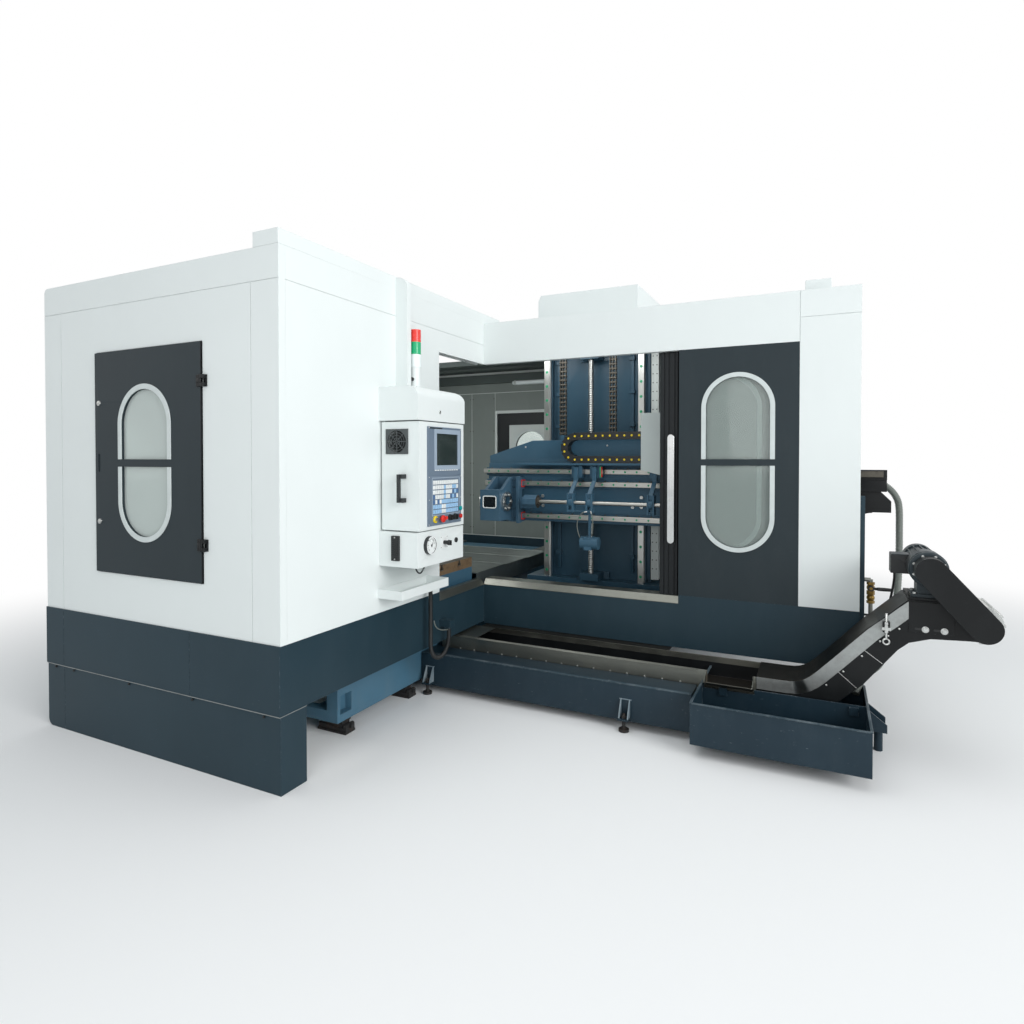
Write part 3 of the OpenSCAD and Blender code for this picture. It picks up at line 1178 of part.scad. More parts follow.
// ---- tanks ----
tank_floor = 73;
tank_t = 6;
bracket_z = 62;
long_z = [45, 245];
open_x = [1527, 2312];
open_y = [-690, -40];
open_z = [67, 270];
module coolant_tanks() place() color("#2D3B46") {
  // long tank beside and under the trough
  along_x([-174, 1500]) polygon([
    [-500, long_z[0]], [-500, long_z[1] - 4], [-488, long_z[1]], [conv_y0 - 8, long_z[1]],
    [conv_y0 - 8, conv_z], [-40, conv_z], [-40, long_z[0]]]);
  for (p = tank_foot_pts) if (p[0] < 1500) bracket(p, p[1] < -200 ? -500 : -40);
  // open tank
  difference() {
    block(open_x, open_y, open_z);
    block([open_x[0] + tank_t, open_x[1] - tank_t], [open_y[0] + tank_t, -363], [tank_floor, open_z[1] + 1]);
    block([open_x[0] + tank_t, open_x[1] - tank_t], [-357, open_y[1] - tank_t], [tank_floor, open_z[1] + 1]);
    // notches for the trough and its side chute
    block([open_x[0] - 1, open_x[0] + tank_t + 1], [conv_y0 - 5, conv_y1 + 5], [conv_z - 1, open_z[1] + 1]);
    block([1540, 1794], [-364, -356], [conv_z + 30, open_z[1] + 1]);
  }
  for (x = [1620, 2230]) block([x, x + 40], [-375, -363], [open_z[1] - 50, open_z[1] - 10]);
  for (p = tank_foot_pts) if (p[0] > 1500) bracket(p, open_y[1]);
  // foot bracket on the right end
  difference() {
    union() {
      block([open_x[1], open_x[1] + 90], [-240, -120], [110, 118]);
      for (y = [-240, -128]) along_y([y, y + 8]) polygon([
        [open_x[1], 118], [open_x[1] + 90, 118], [open_x[1] + 90, 150], [open_x[1], 220]]);
    }
    rod_z(open_x[1] + 55, -180, [100, 120], 20);
  }
  rod_z(open_x[1] + 55, -180, [0, 110], 40);
}
module bracket(p, wall_y) {
  a = min(p[1], wall_y);
  b = max(p[1], wall_y);
  pad = p[1] < wall_y ? [a - 25, b] : [a, b + 25];
  difference() {
    block([p[0] - 30, p[0] + 30], pad, [bracket_z, bracket_z + 8]);
    rod_z(p[0], p[1], [bracket_z - 1, bracket_z + 9], 16 + 2 * run);
  }
}

// ---- pipe with two ball valves ----
pipe_p = [drill_w + 57, 100];
valve_z = [770, 715];
module valve_pipe() place() color("#B08D57") difference() {
  union() {
    rod_z(pipe_p[0], pipe_p[1], [560, 815], 22);
    for (z = [570, 812]) rod_x([drill_w, pipe_p[0]], pipe_p[1], z, 22);
    for (z = valve_z) {
      hex_z(pipe_p[0], pipe_p[1], [z - 30, z - 16], 40);
      translate([pipe_p[0], pipe_p[1], z]) sphere(d = 40);
      hex_z(pipe_p[0], pipe_p[1], [z + 16, z + 30], 40);
    }
    rod_y(pipe_p[0], [pipe_p[1] - 38, pipe_p[1]], valve_z[0], 16);
  }
}
module valve_lever() place() color("#1E2322") difference() {
  y = pipe_p[1] - 38;
  union() {
    rod_y(pipe_p[0], [y + 1, y + 11], valve_z[0], 30);
    block([pipe_p[0], pipe_p[0] + 96], [y + 3, y + 9], [valve_z[0] - 7, valve_z[0] + 7]);
  }
  rod_y(pipe_p[0], [y - 1, y + 12], valve_z[0], 16 + 2 * run);
}

// ---- hoses and cables: one swept tube each ----
gland_t = 10;
function unit(v) = v / norm(v);
function path_dir(p, i) = unit(p[min(i + 1, len(p) - 1)] - p[max(i - 1, 0)]);
// the first and last rings stand square to the route's end legs
function tube_dir(p, i, a, b) = i == 0 ? a : i == len(p) - 1 ? b : path_dir(p, i);
function ring(p, i, d, side, r, n) =
  let (u = unit(cross(side, d)), v = cross(d, u))
  [for (k = [0:n - 1]) p[i] + r * (cos(360 * k / n) * u + sin(360 * k / n) * v)];
function spline(p, i, t) =
  let (a = p[max(i - 1, 0)], b = p[i], c = p[i + 1], d = p[min(i + 2, len(p) - 1)])
  b + 0.5 * t * (c - a + t * (2 * a - 5 * b + 4 * c - d + t * (3 * (b - c) + d - a)));
function smooth(p, n) = concat([for (i = [0:len(p) - 2]) for (k = [0:n - 1]) spline(p, i, k / n)], [p[len(p) - 1]]);
module tube(points, d, side, steps = 3, n = 10) {
  p = smooth(points, steps);
  rings = len(p);
  last = len(points) - 1;
  first_leg = unit(points[1] - points[0]);
  last_leg = unit(points[last] - points[last - 1]);
  polyhedron(
    [for (i = [0:rings - 1]) each ring(p, i, tube_dir(p, i, first_leg, last_leg), side, d / 2, n)],
    concat(
      [[for (k = [0:n - 1]) k]],
      [for (i = [0:rings - 2]) for (k = [0:n - 1])
        [i * n + k, (i + 1) * n + k, (i + 1) * n + (k + 1) % n, i * n + (k + 1) % n]],
      [[for (k = [n - 1:-1:0]) (rings - 1) * n + k]]));
}
cabin_hose_pts = [
  [2297.5, 560, 1340], [2345, 560, 1340], [2410, 560, 1327], [2465, 560, 1290], [2502, 560, 1235],
  [2515, 560, 1170], [2517, 560, 1040], [2517, 559, 900], [2513, 548, 760], [2502, 515, 630],
  [2484, 455, 515], [2456, 370, 420], [2420, 270, 357], [2388, 180, 329], [2359, 104, 323],
  [2333, 39, 324], [2312, -7, 318], [2293, -48, 301], [2279, -79, 276], [2267, -108, 246]];
conduit_pts = [
  [52, -745, 734.5], [52, -745, 650], [52, -745, 570], [52, -745, 500], [52, -745, 440],
  [52, -745, 385], [52, -732, 335], [52, -695, 298], [52, -645, 285], [52, -595, 298],
  [52, -558, 335], [52, -545, 385], [52, -545, 435]];
cable_pts = [
  [2440, -70, 894.5], [2440, -68, 862], [2438, -56, 828], [2435, -38, 794], [2431, -14, 756],
  [2426, 16, 713], [2420, 50, 668], [2413, 87, 629], [2405, 122, 607], [2389, 158, 600],
  [2358, 183, 600], [2326, 190, 600], [2297.5, 190, 600]];
module cabin_hose() place() color("#6B716C") tube(cabin_hose_pts, 40, [0, 1, 0], 2);
module pendant_conduit() place() color("#1D2121") tube(conduit_pts, 26, [1, 0, 0], 2);
module motor_cable() place() color("#141718") tube(cable_pts, 12, [0, 1, 0.3], 2);

bed();
levelling_feet();
column();
column_rails();
lift_chains();
lift_screw();
wing_front_wall();
wing_side_wall();
outer_walls();
roof();
base_skirts();
drill_front();
fixed_panel();
fixed_window();
door_sill();
door_hinges();
pendant_head();
pendant_base();
signal_tower();
conveyor_trough();
conveyor_housing();
gearmotor();
coolant_tanks();
valve_pipe();
valve_lever();
cabin_hose();
pendant_conduit();
motor_cable();
service_door();
service_window();
rear_door();
rear_window();
rear_handle();
sliding_door();
sliding_window();
trailing_leaf();
side_door();
pendant_case();
control_panel();
e_stop();
mode_knob();
feed_knob();
stop_button();
start_button();
fan_rotor();
beam();
beam_rails();
drag_chain();
beam_cover();
drill_head();
spindle_carriage();
drill_tube();
steady_rest_a();
steady_rest_b();
steady_rest_c();
table();
way_cover_front();
way_cover_middle();
way_cover_rear();
conveyor_drum();
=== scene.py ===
import functools
from math import cos, hypot, pi, radians, sin

import bmesh
import bpy
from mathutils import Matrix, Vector


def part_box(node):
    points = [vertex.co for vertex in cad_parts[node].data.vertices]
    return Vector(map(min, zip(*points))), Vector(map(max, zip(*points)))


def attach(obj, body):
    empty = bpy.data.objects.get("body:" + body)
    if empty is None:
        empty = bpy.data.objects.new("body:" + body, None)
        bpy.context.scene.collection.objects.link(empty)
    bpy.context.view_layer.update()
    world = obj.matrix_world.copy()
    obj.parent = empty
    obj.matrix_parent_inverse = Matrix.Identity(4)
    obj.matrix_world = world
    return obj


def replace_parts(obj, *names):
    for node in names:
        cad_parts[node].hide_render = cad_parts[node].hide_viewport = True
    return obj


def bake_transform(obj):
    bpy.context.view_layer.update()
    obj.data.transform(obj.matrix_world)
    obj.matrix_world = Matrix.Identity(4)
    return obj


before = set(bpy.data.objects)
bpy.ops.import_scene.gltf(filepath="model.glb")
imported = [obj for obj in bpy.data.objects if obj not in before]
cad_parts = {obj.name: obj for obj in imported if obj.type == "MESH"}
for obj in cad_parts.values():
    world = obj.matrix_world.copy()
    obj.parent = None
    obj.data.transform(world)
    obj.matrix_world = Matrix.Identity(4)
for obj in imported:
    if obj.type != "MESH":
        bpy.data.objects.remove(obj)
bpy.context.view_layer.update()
cornerPoint = Vector((0.555, 0.150, 0.0))  # from the inner corner of the two cabins to the middle of the machine


def at(x, y, z):  # a place in mm from the inner corner, on the floor
    return Vector((x, y, z)) / 1000 - cornerPoint


def inMm(point):  # and the way back
    return (point + cornerPoint) * 1000


def linear(hexColour):
    parts = [int(hexColour[i:i + 2], 16) / 255 for i in (1, 3, 5)]
    return [c / 12.92 if c <= 0.04045 else ((c + 0.055) / 1.055) ** 2.4 for c in parts] + [1]


def addNode(tree, kind, sockets=(), **settings):  # sockets by name or number, or a list in the node's own order
    made = tree.nodes.new(kind if "Node" in kind else "ShaderNode" + kind)
    for name, value in settings.items():
        setattr(made, name, value)
    for name, value in (sockets if isinstance(sockets, dict) else dict(enumerate(sockets))).items():
        if isinstance(value, bpy.types.Node):  # a node stands for its first live output
            value = next(output for output in value.outputs if output.enabled)
        if isinstance(value, bpy.types.NodeSocket):
            tree.links.new(value, made.inputs[name])
        else:
            made.inputs[name].default_value = value
    return made


def addObject(name, data):
    made = bpy.data.objects.new(name, data)
    bpy.context.scene.collection.objects.link(made)
    return made


def meshObject(name, shape):
    data = bpy.data.meshes.new(name)
    shape.to_mesh(data)
    shape.free()
    return addObject(name, data)


# camera
cameraSpec = dict(place=(2115, -3876, 1472), turn=26.09, tilt=-0.91, lens=22.46, shiftY=-0.0422)
camera = addObject("camera", bpy.data.cameras.new("camera"))
camera.data.lens = cameraSpec["lens"]
camera.data.sensor_width = 36
camera.data.shift_y = cameraSpec["shiftY"]
camera.data.clip_end = 200
camera.location = at(*cameraSpec["place"])
camera.rotation_euler = [radians(a) for a in (90 + cameraSpec["tilt"], 0, cameraSpec["turn"])]
bpy.context.scene.camera = camera


# cords
def smoothPath(points, step):  # a Catmull-Rom curve through the points, cut every step metres
    ends = [points[0] * 2 - points[1]] + list(points) + [points[-1] * 2 - points[-2]]
    fine = []
    for i in range(1, len(ends) - 2):
        a, b, c, d = ends[i - 1:i + 3]
        for t in (k / 24 for k in range(24)):
            fine.append(b + 0.5 * t * (c - a + t * (2 * a - 5 * b + 4 * c - d + t * (3 * (b - c) + d - a))))
    fine.append(points[-1])
    total = sum((q - p).length for p, q in zip(fine, fine[1:]))
    count = max(2, round(total / step))
    path, reach, gone = [fine[0]], total / count, 0
    for p, q in zip(fine, fine[1:]):
        leg = (q - p).length
        while gone + leg >= reach * len(path) - 1e-9 and len(path) < count:
            path.append(p.lerp(q, (reach * len(path) - gone) / leg))
        gone += leg
    return path + [fine[-1]], total


def circleAngles(sides, count=0):  # the angles of a circle's points, one after the other
    return [2 * pi * k / sides for k in range(count or sides)]


def skinRings(shape, rings, index=0):  # faces between rings with as many points each, and over both ends
    sides = len(rings[0])
    for a, b in zip(rings, rings[1:]):
        for k in range(sides):
            shape.faces.new((a[k], a[(k + 1) % sides], b[(k + 1) % sides], b[k])).material_index = index
    shape.faces.new(rings[0][::-1]).material_index = index
    shape.faces.new(rings[-1]).material_index = index


def addTube(shape, path, radiusAt, sides):  # a closed tube whose radius may change along it
    side = (path[1] - path[0]).normalized().orthogonal().normalized()
    rings, gone = [], 0
    for i, p in enumerate(path):
        if i:
            gone += (p - path[i - 1]).length
        ahead = (path[min(i + 1, len(path) - 1)] - path[max(i - 1, 0)]).normalized()
        side = (side - ahead * side.dot(ahead)).normalized()
        up = ahead.cross(side)
        r = radiusAt(gone)
        rings.append([shape.verts.new(p + r * (cos(a) * side + sin(a) * up)) for a in circleAngles(sides)])
    skinRings(shape, rings)


# the first three routes are the same as those of the solids that the cords replace
cordSpecs = dict(
    returnHose=dict(node="cabin_hose", farEnd="bare", stiffness="stiff", look=("hoseGrey", "hose_rubber"),
                    diameter=0.04, pitch=0.009, depth=0.0028, points=[
        (2297.5, 560, 1340), (2345, 560, 1340), (2410, 560, 1327), (2465, 560, 1290), (2502, 560, 1235),
        (2515, 560, 1170), (2517, 560, 1040), (2517, 559, 900), (2513, 548, 760), (2502, 515, 630),
        (2484, 455, 515), (2456, 370, 420), (2420, 270, 357), (2388, 180, 329), (2359, 104, 323),
        (2333, 39, 324), (2312, -7, 318), (2293, -48, 301), (2279, -79, 276), (2267, -108, 246)]),
    panelConduit=dict(node="pendant_conduit", look=("blackRubber", "black_rubber"),
                      diameter=0.026, pitch=0.006, depth=0.0016, points=[
        (52, -745, 734.5), (52, -745, 650), (52, -745, 570), (52, -745, 500), (52, -745, 440),
        (52, -745, 385), (52, -732, 335), (52, -695, 298), (52, -645, 285), (52, -595, 298),
        (52, -558, 335), (52, -545, 385), (52, -545, 435)]),
    motorLead=dict(node="motor_cable", look=("blackRubber", "black_rubber"), diameter=0.012, points=[
        (2440, -70, 894.5), (2440, -68, 862), (2438, -56, 828), (2435, -38, 794), (2431, -14, 756),
        (2426, 16, 713), (2420, 50, 668), (2413, 87, 629), (2405, 122, 607), (2389, 158, 600),
        (2358, 183, 600), (2326, 190, 600), (2297.5, 190, 600)]),
    panelLoop=dict(stiffness="limp", look=("blackRubber", "black_rubber"), diameter=0.008, points=[
        (206, -1118, 908), (206, -1112, 892), (200, -1085, 872), (180, -1030, 862), (140, -950, 866),
        (96, -860, 872), (52, -780, 872), (22, -760, 872), (1, -758, 872)]),
    panelWire=dict(stiffness="limp", look=("hoseGrey", "black_rubber"), diameter=0.0064, points=[
        (61, -721, 520), (61, -716, 500), (61, -690, 470), (61, -645, 448), (61, -600, 438), (61, -572, 432)]),
    pumpInlet=dict(body="rest_b", look=("hoseGrey", "hose_rubber"), diameter=0.0064, points=[
        (690, 158, 1118), (668, 150, 1112), (640, 150, 1078), (626, 156, 1020), (640, 166, 950),
        (668, 174, 910), (690, 178, 900)]),
    pumpOutlet=dict(body="rest_b", look=("hoseGrey", "hose_rubber"), diameter=0.0064, points=[
        (722, 158, 1118), (734, 152, 1090), (738, 152, 1040), (732, 160, 985), (722, 172, 955),
        (718, 178, 946)]))


def makeCord(name, spec):
    pitch, depth, outer = spec.get("pitch", 0), spec.get("depth", 0), spec["diameter"] / 2
    path, total = smoothPath([at(*p) for p in spec["points"]], pitch / 6 or 0.005)

    def ridged(gone):
        if not pitch:
            return outer
        wave = cos(2 * pi * gone / pitch)
        return outer - depth * (0.5 - 0.5 * max(-1, min(1, 1.8 * wave)))

    shape = bmesh.new()
    addTube(shape, path, ridged, 14)
    for face in list(shape.faces)[:-2]:  # all but the two ends
        face.smooth = True
    piece = meshObject(name, shape)
    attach(piece, spec.get("body", "machine"))
    if "node" in spec:
        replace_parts(piece, spec["node"])
    return piece


cordPieces = {name: makeCord(name, spec) for name, spec in cordSpecs.items()}
print("camera and cords made")


# materials: a MapRange node's list is its value, the range from and the range to
def startMaterial(name):
    material = bpy.data.materials.new(name)
    material.use_nodes = True
    material.node_tree.nodes.clear()
    add = functools.partial(addNode, material.node_tree)
    return material, add, add("TexCoord").outputs["Object"]


def shadedColour(add, colour, noise, *ranges):  # lighter and darker with the noise
    shade = add("MapRange", [noise, *ranges])
    return add("Mix", {0: 1.0, 6: linear(colour), 7: shade}, data_type="RGBA", blend_type="MULTIPLY")


def finishSolid(add, rounded, grain, depth, sockets):  # a bump of so many mm on soft corners, then the shader
    bump = add("Bump", {"Height": grain, "Distance": depth / 1000, "Strength": 1.0, "Normal": rounded})
    shader = add("BsdfPrincipled", dict(sockets, Normal=bump))
    add("OutputMaterial", [shader])


# enamel and powder coat on steel or iron: a fine orange peel, soft corners, a film of dust and worn edges
def paintedSteel(name, colour, roughness, peel, peelDepth, cloud, dust, dustShare, wear, wearShare, corner=3, scuffs=0):
    material, add, place = startMaterial(name)
    clouds = add("TexNoise", {"Vector": place, "Scale": 1.7, "Detail": 4.0, "Roughness": 0.6})
    drips = add("Mapping", {"Vector": place, "Scale": (3.0, 3.0, 1.2)})
    streaks = add("TexNoise", {"Vector": drips, "Scale": 2.3, "Detail": 6.0, "Roughness": 0.65})
    base = shadedColour(add, colour, clouds, 0.3, 0.7, 1 - cloud, 1 + cloud * 0.6)
    film = add("MapRange", [streaks, 0.45, 0.75, 0.0, dustShare])
    dusty = add("Mix", {0: film, 6: base, 7: linear(dust)}, data_type="RGBA")
    rounded = add("Bevel", {"Radius": corner / 1000}, samples=4)
    facing = add("NewGeometry").outputs["Normal"]
    bent = add("VectorMath", [rounded, facing], operation="DOT_PRODUCT")
    chips = add("TexNoise", {"Vector": place, "Scale": 60.0, "Detail": 3.0, "Roughness": 0.7})
    edge = add("MapRange", [bent, 0.985, 0.8, 0.0, 1.0])
    chipped = add("MapRange", [chips, 0.52, 0.62, 0.0, wearShare])
    worn = add("Math", [edge, chipped], operation="MULTIPLY")
    if scuffs:  # pale rubbed marks, about 20 mm long
        rubPlace = add("Mapping", {"Vector": place, "Scale": (9.0, 9.0, 50.0)})
        rubs = add("TexNoise", {"Vector": rubPlace, "Scale": 3.0, "Detail": 5.0, "Roughness": 0.75})
        rubbed = add("MapRange", [rubs, 0.66, 0.72, 0.0, scuffs])
        worn = add("Math", [worn, rubbed], operation="MAXIMUM")
    mixed = add("Mix", {0: worn, 6: dusty, 7: linear(wear)}, data_type="RGBA")
    grain = add("TexNoise", {"Vector": place, "Scale": 1000 / peel, "Detail": 2.0})
    rough = add("MapRange", [streaks, 0.3, 0.7, roughness - 0.03, roughness + 0.04])
    finishSolid(add, rounded, grain, peelDepth, {"Base Color": mixed, "Roughness": rough, "Specular IOR Level": 0.28})
    return material


# bare metal: brush marks along one direction, oil film and, where it is old, brown patches
def bareMetal(name, colour, roughness, brush, brushDepth, stain, stainShare, corner=1.5, shine=1.0, stainScale=6.0):
    material, add, place = startMaterial(name)
    along = add("Mapping", {"Vector": place, "Scale": brush})
    marks = add("TexNoise", {"Vector": along, "Scale": 1.0, "Detail": 4.0, "Roughness": 0.7})
    film = add("TexNoise", {"Vector": place, "Scale": stainScale, "Detail": 6.0, "Roughness": 0.65})
    patch = add("MapRange", [film, 0.5, 0.68, 0.0, stainShare])
    base = shadedColour(add, colour, marks, 0.25, 0.75, 0.86, 1.08)
    stained = add("Mix", {0: patch, 6: base, 7: linear(stain)}, data_type="RGBA")
    rough = add("MapRange", [film, 0.3, 0.7, max(0.05, roughness - 0.04), roughness + 0.08])
    rounded = add("Bevel", {"Radius": corner / 1000}, samples=4)
    metal = add("MapRange", [patch, 0.0, 1.0, shine, 0.1])
    finishSolid(add, rounded, marks, brushDepth, {"Base Color": stained, "Metallic": metal, "Roughness": rough})
    return material


# moulded plastic and rubber: a fine spark-eroded grain and slight handling marks
def moulded(name, colour, roughness=0.4, grain=1.5, grainDepth=0.03, ior=1.5, cloud=0.06, glow=0.0):
    material, add, place = startMaterial(name)
    texture = add("TexNoise", {"Vector": place, "Scale": 1000 / grain, "Detail": 2.0})
    marks = add("TexNoise", {"Vector": place, "Scale": 14.0, "Detail": 5.0, "Roughness": 0.6})
    base = shadedColour(add, colour, marks, 0.3, 0.7, 1 - cloud, 1 + cloud)
    rough = add("MapRange", [marks, 0.3, 0.7, roughness - 0.05, roughness + 0.08])
    rounded = add("Bevel", {"Radius": 0.001}, samples=4)
    finishSolid(add, rounded, texture, grainDepth, {"Base Color": base, "Roughness": rough, "IOR": ior,
                                                    "Emission Color": linear(colour), "Emission Strength": glow})
    return material


# clear sheet: it lets most light straight through, tinted, and mirrors the room at a slant; head-on a share of a pale
# matt film covers it, partly haze and partly painted light for the lit room and reflections seen in it
def clearSheet(name, tint, smear, see, film="#9FB2AC"):
    material, add, place = startMaterial(name)
    smears = add("TexNoise", {"Vector": place, "Scale": 5.0, "Detail": 6.0, "Roughness": 0.7})
    haze = add("MapRange", [smears, 0.4, 0.8, 0.02, 0.02 + smear * 4])
    clear = add("BsdfTransparent", {"Color": linear(tint)})
    # the pale film: partly haze, partly painted light and painted reflection
    face = add("BsdfPrincipled", {"Base Color": linear(film), "Roughness": haze, "IOR": 1.5})
    slant = add("Fresnel", {"IOR": 1.5})
    share = add("MapRange", [slant, 0.0, 1.0, 1 - see, 1.0])
    add("OutputMaterial", [add("MixShader", [share, clear, face])])
    return material


paints = dict(  # colour, roughness, peel and its depth in mm, clouds, dust, its share, wear, its share,
    # corner in mm, scuffs
    powderCoatWhite=("#E3E9E8", 0.38, 5, 0.04, 0.012, "#B9BFB9", 0.02, "#B8BEBE", 0.25),
    powderCoatGrey=("#CFD6D3", 0.42, 5, 0.04, 0.03, "#8D938C", 0.04, "#A9AFAF", 0.25),
    texturedEnamelDark=("#20353F", 0.46, 3, 0.08, 0.08, "#6F7B82", 0.03, "#7A8893", 0.6, 3, 0.3),
    powderCoatDark=("#232E33", 0.5, 3, 0.07, 0.05, "#7A8183", 0.03, "#7D8486", 0.4, 2, 0.10),
    powderCoatBlack=("#14191C", 0.45, 3, 0.06, 0.06, "#6C7476", 0.03, "#6D7577", 0.4, 2, 0.10),
    # pale grey of the second leaf's rim, also laid on its glass pane as painted light
    primerGrey=("#7F8E89", 0.5, 4, 0.05, 0.06, "#B0B8B2", 0.05, "#9BA39F", 0.3),
    castingEnamel=("#304D5E", 0.36, 9, 0.16, 0.12, "#6C7A80", 0.05, "#8A97A0", 0.5, 4, 0.10),
    bedEnamel=("#4A7187", 0.4, 9, 0.16, 0.14, "#8C8A78", 0.10, "#6B5A48", 0.8, 4, 0.15),
    beamEnamel=("#385B70", 0.34, 8, 0.14, 0.10, "#7C8A90", 0.05, "#93A0A8", 0.5, 3, 0.10),
    tankEnamel=("#1C2E39", 0.38, 6, 0.08, 0.14, "#6D7A81", 0.05, "#93A0A6", 0.8, 3, 0.5),
    sheetEnamelLight=("#C4CDCB", 0.4, 4, 0.05, 0.04, "#8A908B", 0.05, "#9AA0A0", 0.3),
    blackEnamel=("#0C0F11", 0.4, 4, 0.05, 0.10, "#5D6466", 0.03, "#6C7375", 0.5, 3, 0.12),
    panelEnamel=("#6C7B8B", 0.4, 2, 0.03, 0.02, "#A9B2BA", 0.05, "#A9B2BA", 0.2, 1),
    panelEnamelLight=("#9AA9B8", 0.38, 2, 0.03, 0.02, "#A9B2BA", 0.05, "#C2CAD0", 0.2, 1),
    headEnamel=("#3C5A6E", 0.34, 8, 0.12, 0.10, "#7C8A90", 0.08, "#93A0A8", 0.5, 3, 0.08),
    # liner panels: their grey is darkened with painted shade for the shadowed work cabin
    linerEnamel=("#7D8581", 0.48, 4, 0.05, 0.05, "#B0B8B2", 0.06, "#9BA39F", 0.3, 1.5),
    motorEnamel=("#2B353A", 0.4, 6, 0.10, 0.10, "#6A7173", 0.05, "#7A8588", 0.5, 2, 0.08),
    tankEnamelWorn=("#2F4049", 0.38, 4, 0.08, 0.2, "#A9B3B8", 0.25, "#C9D1D4", 1.0, 2, 0.9),
    scrapedEnamel=("#6F7F88", 0.45, 3, 0.1, 0.2, "#D4DADB", 0.5, "#E2E6E6", 1.0, 2, 0.9),
    # dark ceiling grey: painted shade for the unlit underside of the roof, whose top stays white
    ceilingEnamel=("#4E5755", 0.5, 4, 0.05, 0.05, "#7A807C", 0.05, "#8A908C", 0.3, 1.5))
metals = dict(  # colour, roughness, brush marks, their depth in mm, stain, its share,
    # corner in mm, shine, stain scale
    groundSteel=("#B4B4AF", 0.32, (5, 240, 240), 0.02, "#5E4A3A", 0.05),
    groundSteelUpright=("#B7B9B6", 0.34, (240, 240, 5), 0.02, "#5E4A3A", 0.05),
    stainlessSheet=("#83857E", 0.34, (240, 240, 240), 0.03, "#5F5A4E", 0.15, 1.5, 0.95, 9),
    wayCoverSteel=("#A2A8A5", 0.34, (6, 200, 200), 0.03, "#4C4A44", 0.3, 1.5, 0.95, 4),
    tableIron=("#6E6A62", 0.42, (6, 120, 120), 0.05, "#40372D", 0.6, 2, 0.7, 7),
    bareStripSteel=("#A3A7A6", 0.36, (30, 60, 30), 0.03, "#5E5B53", 0.35, 1, 0.95, 9),
    oiledSheet=("#35322D", 0.4, (40, 40, 40), 0.04, "#1E1A16", 0.6, 1, 0.7, 8),
    zincPipe=("#8F918C", 0.4, (90, 90, 10), 0.03, "#55514A", 0.4, 1, 0.9, 20),
    oxidisedIron=("#8A7358", 0.5, (120, 6, 120), 0.06, "#4E3A2A", 0.85, 2, 0.5, 11),
    oiledSteel=("#57544D", 0.4, (60, 60, 60), 0.05, "#2B2622", 0.6, 1, 0.8, 20),
    footCasting=("#2A2A2A", 0.6, (60, 60, 60), 0.1, "#4A382C", 0.5, 2, 0.3, 18),
    polishedTube=("#E4E6E5", 0.16, (300, 300, 4), 0.02, "#9A9C98", 0.1, 1, 1.0, 20),
    zincPlate=("#C9CBC9", 0.28, (90, 90, 90), 0.02, "#8C8A80", 0.2, 1, 1.0, 30),
    castBrass=("#8C7340", 0.42, (80, 80, 80), 0.04, "#54432A", 0.4, 1, 1.0, 30))
plastics = dict(  # colour, roughness, grain and its depth in mm, refraction, clouds, glow
    windowGasket=("#CBD3D2", 0.45, 2, 0.02),
    blackNylon=("#191C1D", 0.45),
    blackRubber=("#17191A", 0.55, 2, 0.04),
    hoseGrey=("#6E746F", 0.5, 2, 0.04),
    redNylon=("#CF2B24", 0.28),
    tealNylon=("#1FA0A0", 0.3),
    yellowNylon=("#E9CD1E", 0.4),
    whiteKeycap=("#E9EDEC", 0.42),
    navyKeycap=("#4E7099", 0.42),
    fanGuardGrey=("#454A4B", 0.5),
    handleGrey=("#25292B", 0.42),
    darkWindow=("#1A2024", 0.1, 4, 0.0, 1.5, 0.02),
    paleBlueKeycap=("#9CC4E6", 0.42),
    clearLens=("#E6EEEE", 0.2, 2, 0.02, 1.49, 0.02, 0.05),
    greenLens=("#12A06A", 0.22, 2, 0.02, 1.49, 0.02, 0.12),
    redLens=("#D93B33", 0.22, 2, 0.02, 1.49, 0.02, 0.12),
    greenCap=("#1C9A68", 0.4),
    screenGlass=("#26302F", 0.12, 4, 0.0, 1.5, 0.02, 0.02))
panes = dict(  # tint, smears, clearness, film on it: a pale matt share seen head-on, partly haze and partly painted light
    safetyPane=("#F3F8F6", 0.03, 0.74, "#D3DEDA"),
    # the service window's pane: half of its look is the pale film, painted light with some haze
    safetyPaneBright=("#F3F8F6", 0.03, 0.5, "#E4ECE9"),
    safetyPaneGreen=("#DCE8E3", 0.04, 0.8))
finish = {name: make(name, *values) for make, table in (
    (paintedSteel, paints), (bareMetal, metals), (moulded, plastics), (clearSheet, panes))
    for name, values in table.items()}
nodeFinish = dict(  # finish: the CAD nodes that are shown as they are
    powderCoatWhite="wing_front_wall wing_side_wall drill_front pendant_head", powderCoatGrey="outer_walls",
    texturedEnamelDark="base_skirts", powderCoatDark="fixed_panel", powderCoatBlack="side_door",
    stainlessSheet="door_sill", blackEnamel="door_hinges conveyor_housing", tankEnamel="coolant_tanks",
    groundSteelUpright="column_rails", groundSteel="drill_tube", footCasting="levelling_feet",
    zincPlate="rear_handle conveyor_drum", sheetEnamelLight="beam_cover spindle_carriage",
    beamEnamel="steady_rest_a steady_rest_b steady_rest_c",
    wayCoverSteel="way_cover_front way_cover_middle way_cover_rear",
    blackNylon="valve_lever mode_knob feed_knob fan_rotor drag_chain", redNylon="e_stop stop_button",
    tealNylon="start_button")
for name, nodes in nodeFinish.items():
    for node in nodes.split():
        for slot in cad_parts[node].material_slots:
            slot.material = finish[name]
for name, piece in cordPieces.items():
    finishName, slotName = cordSpecs[name]["look"]
    piece.data.materials.append(finish[finishName])
print("materials made")


# parts of CAD nodes that have several finishes
edgeSpec = dict(merge=2e-5, flat=0.004, smoothTo=radians(32), bevelFrom=radians(40), bevelSteps=2)


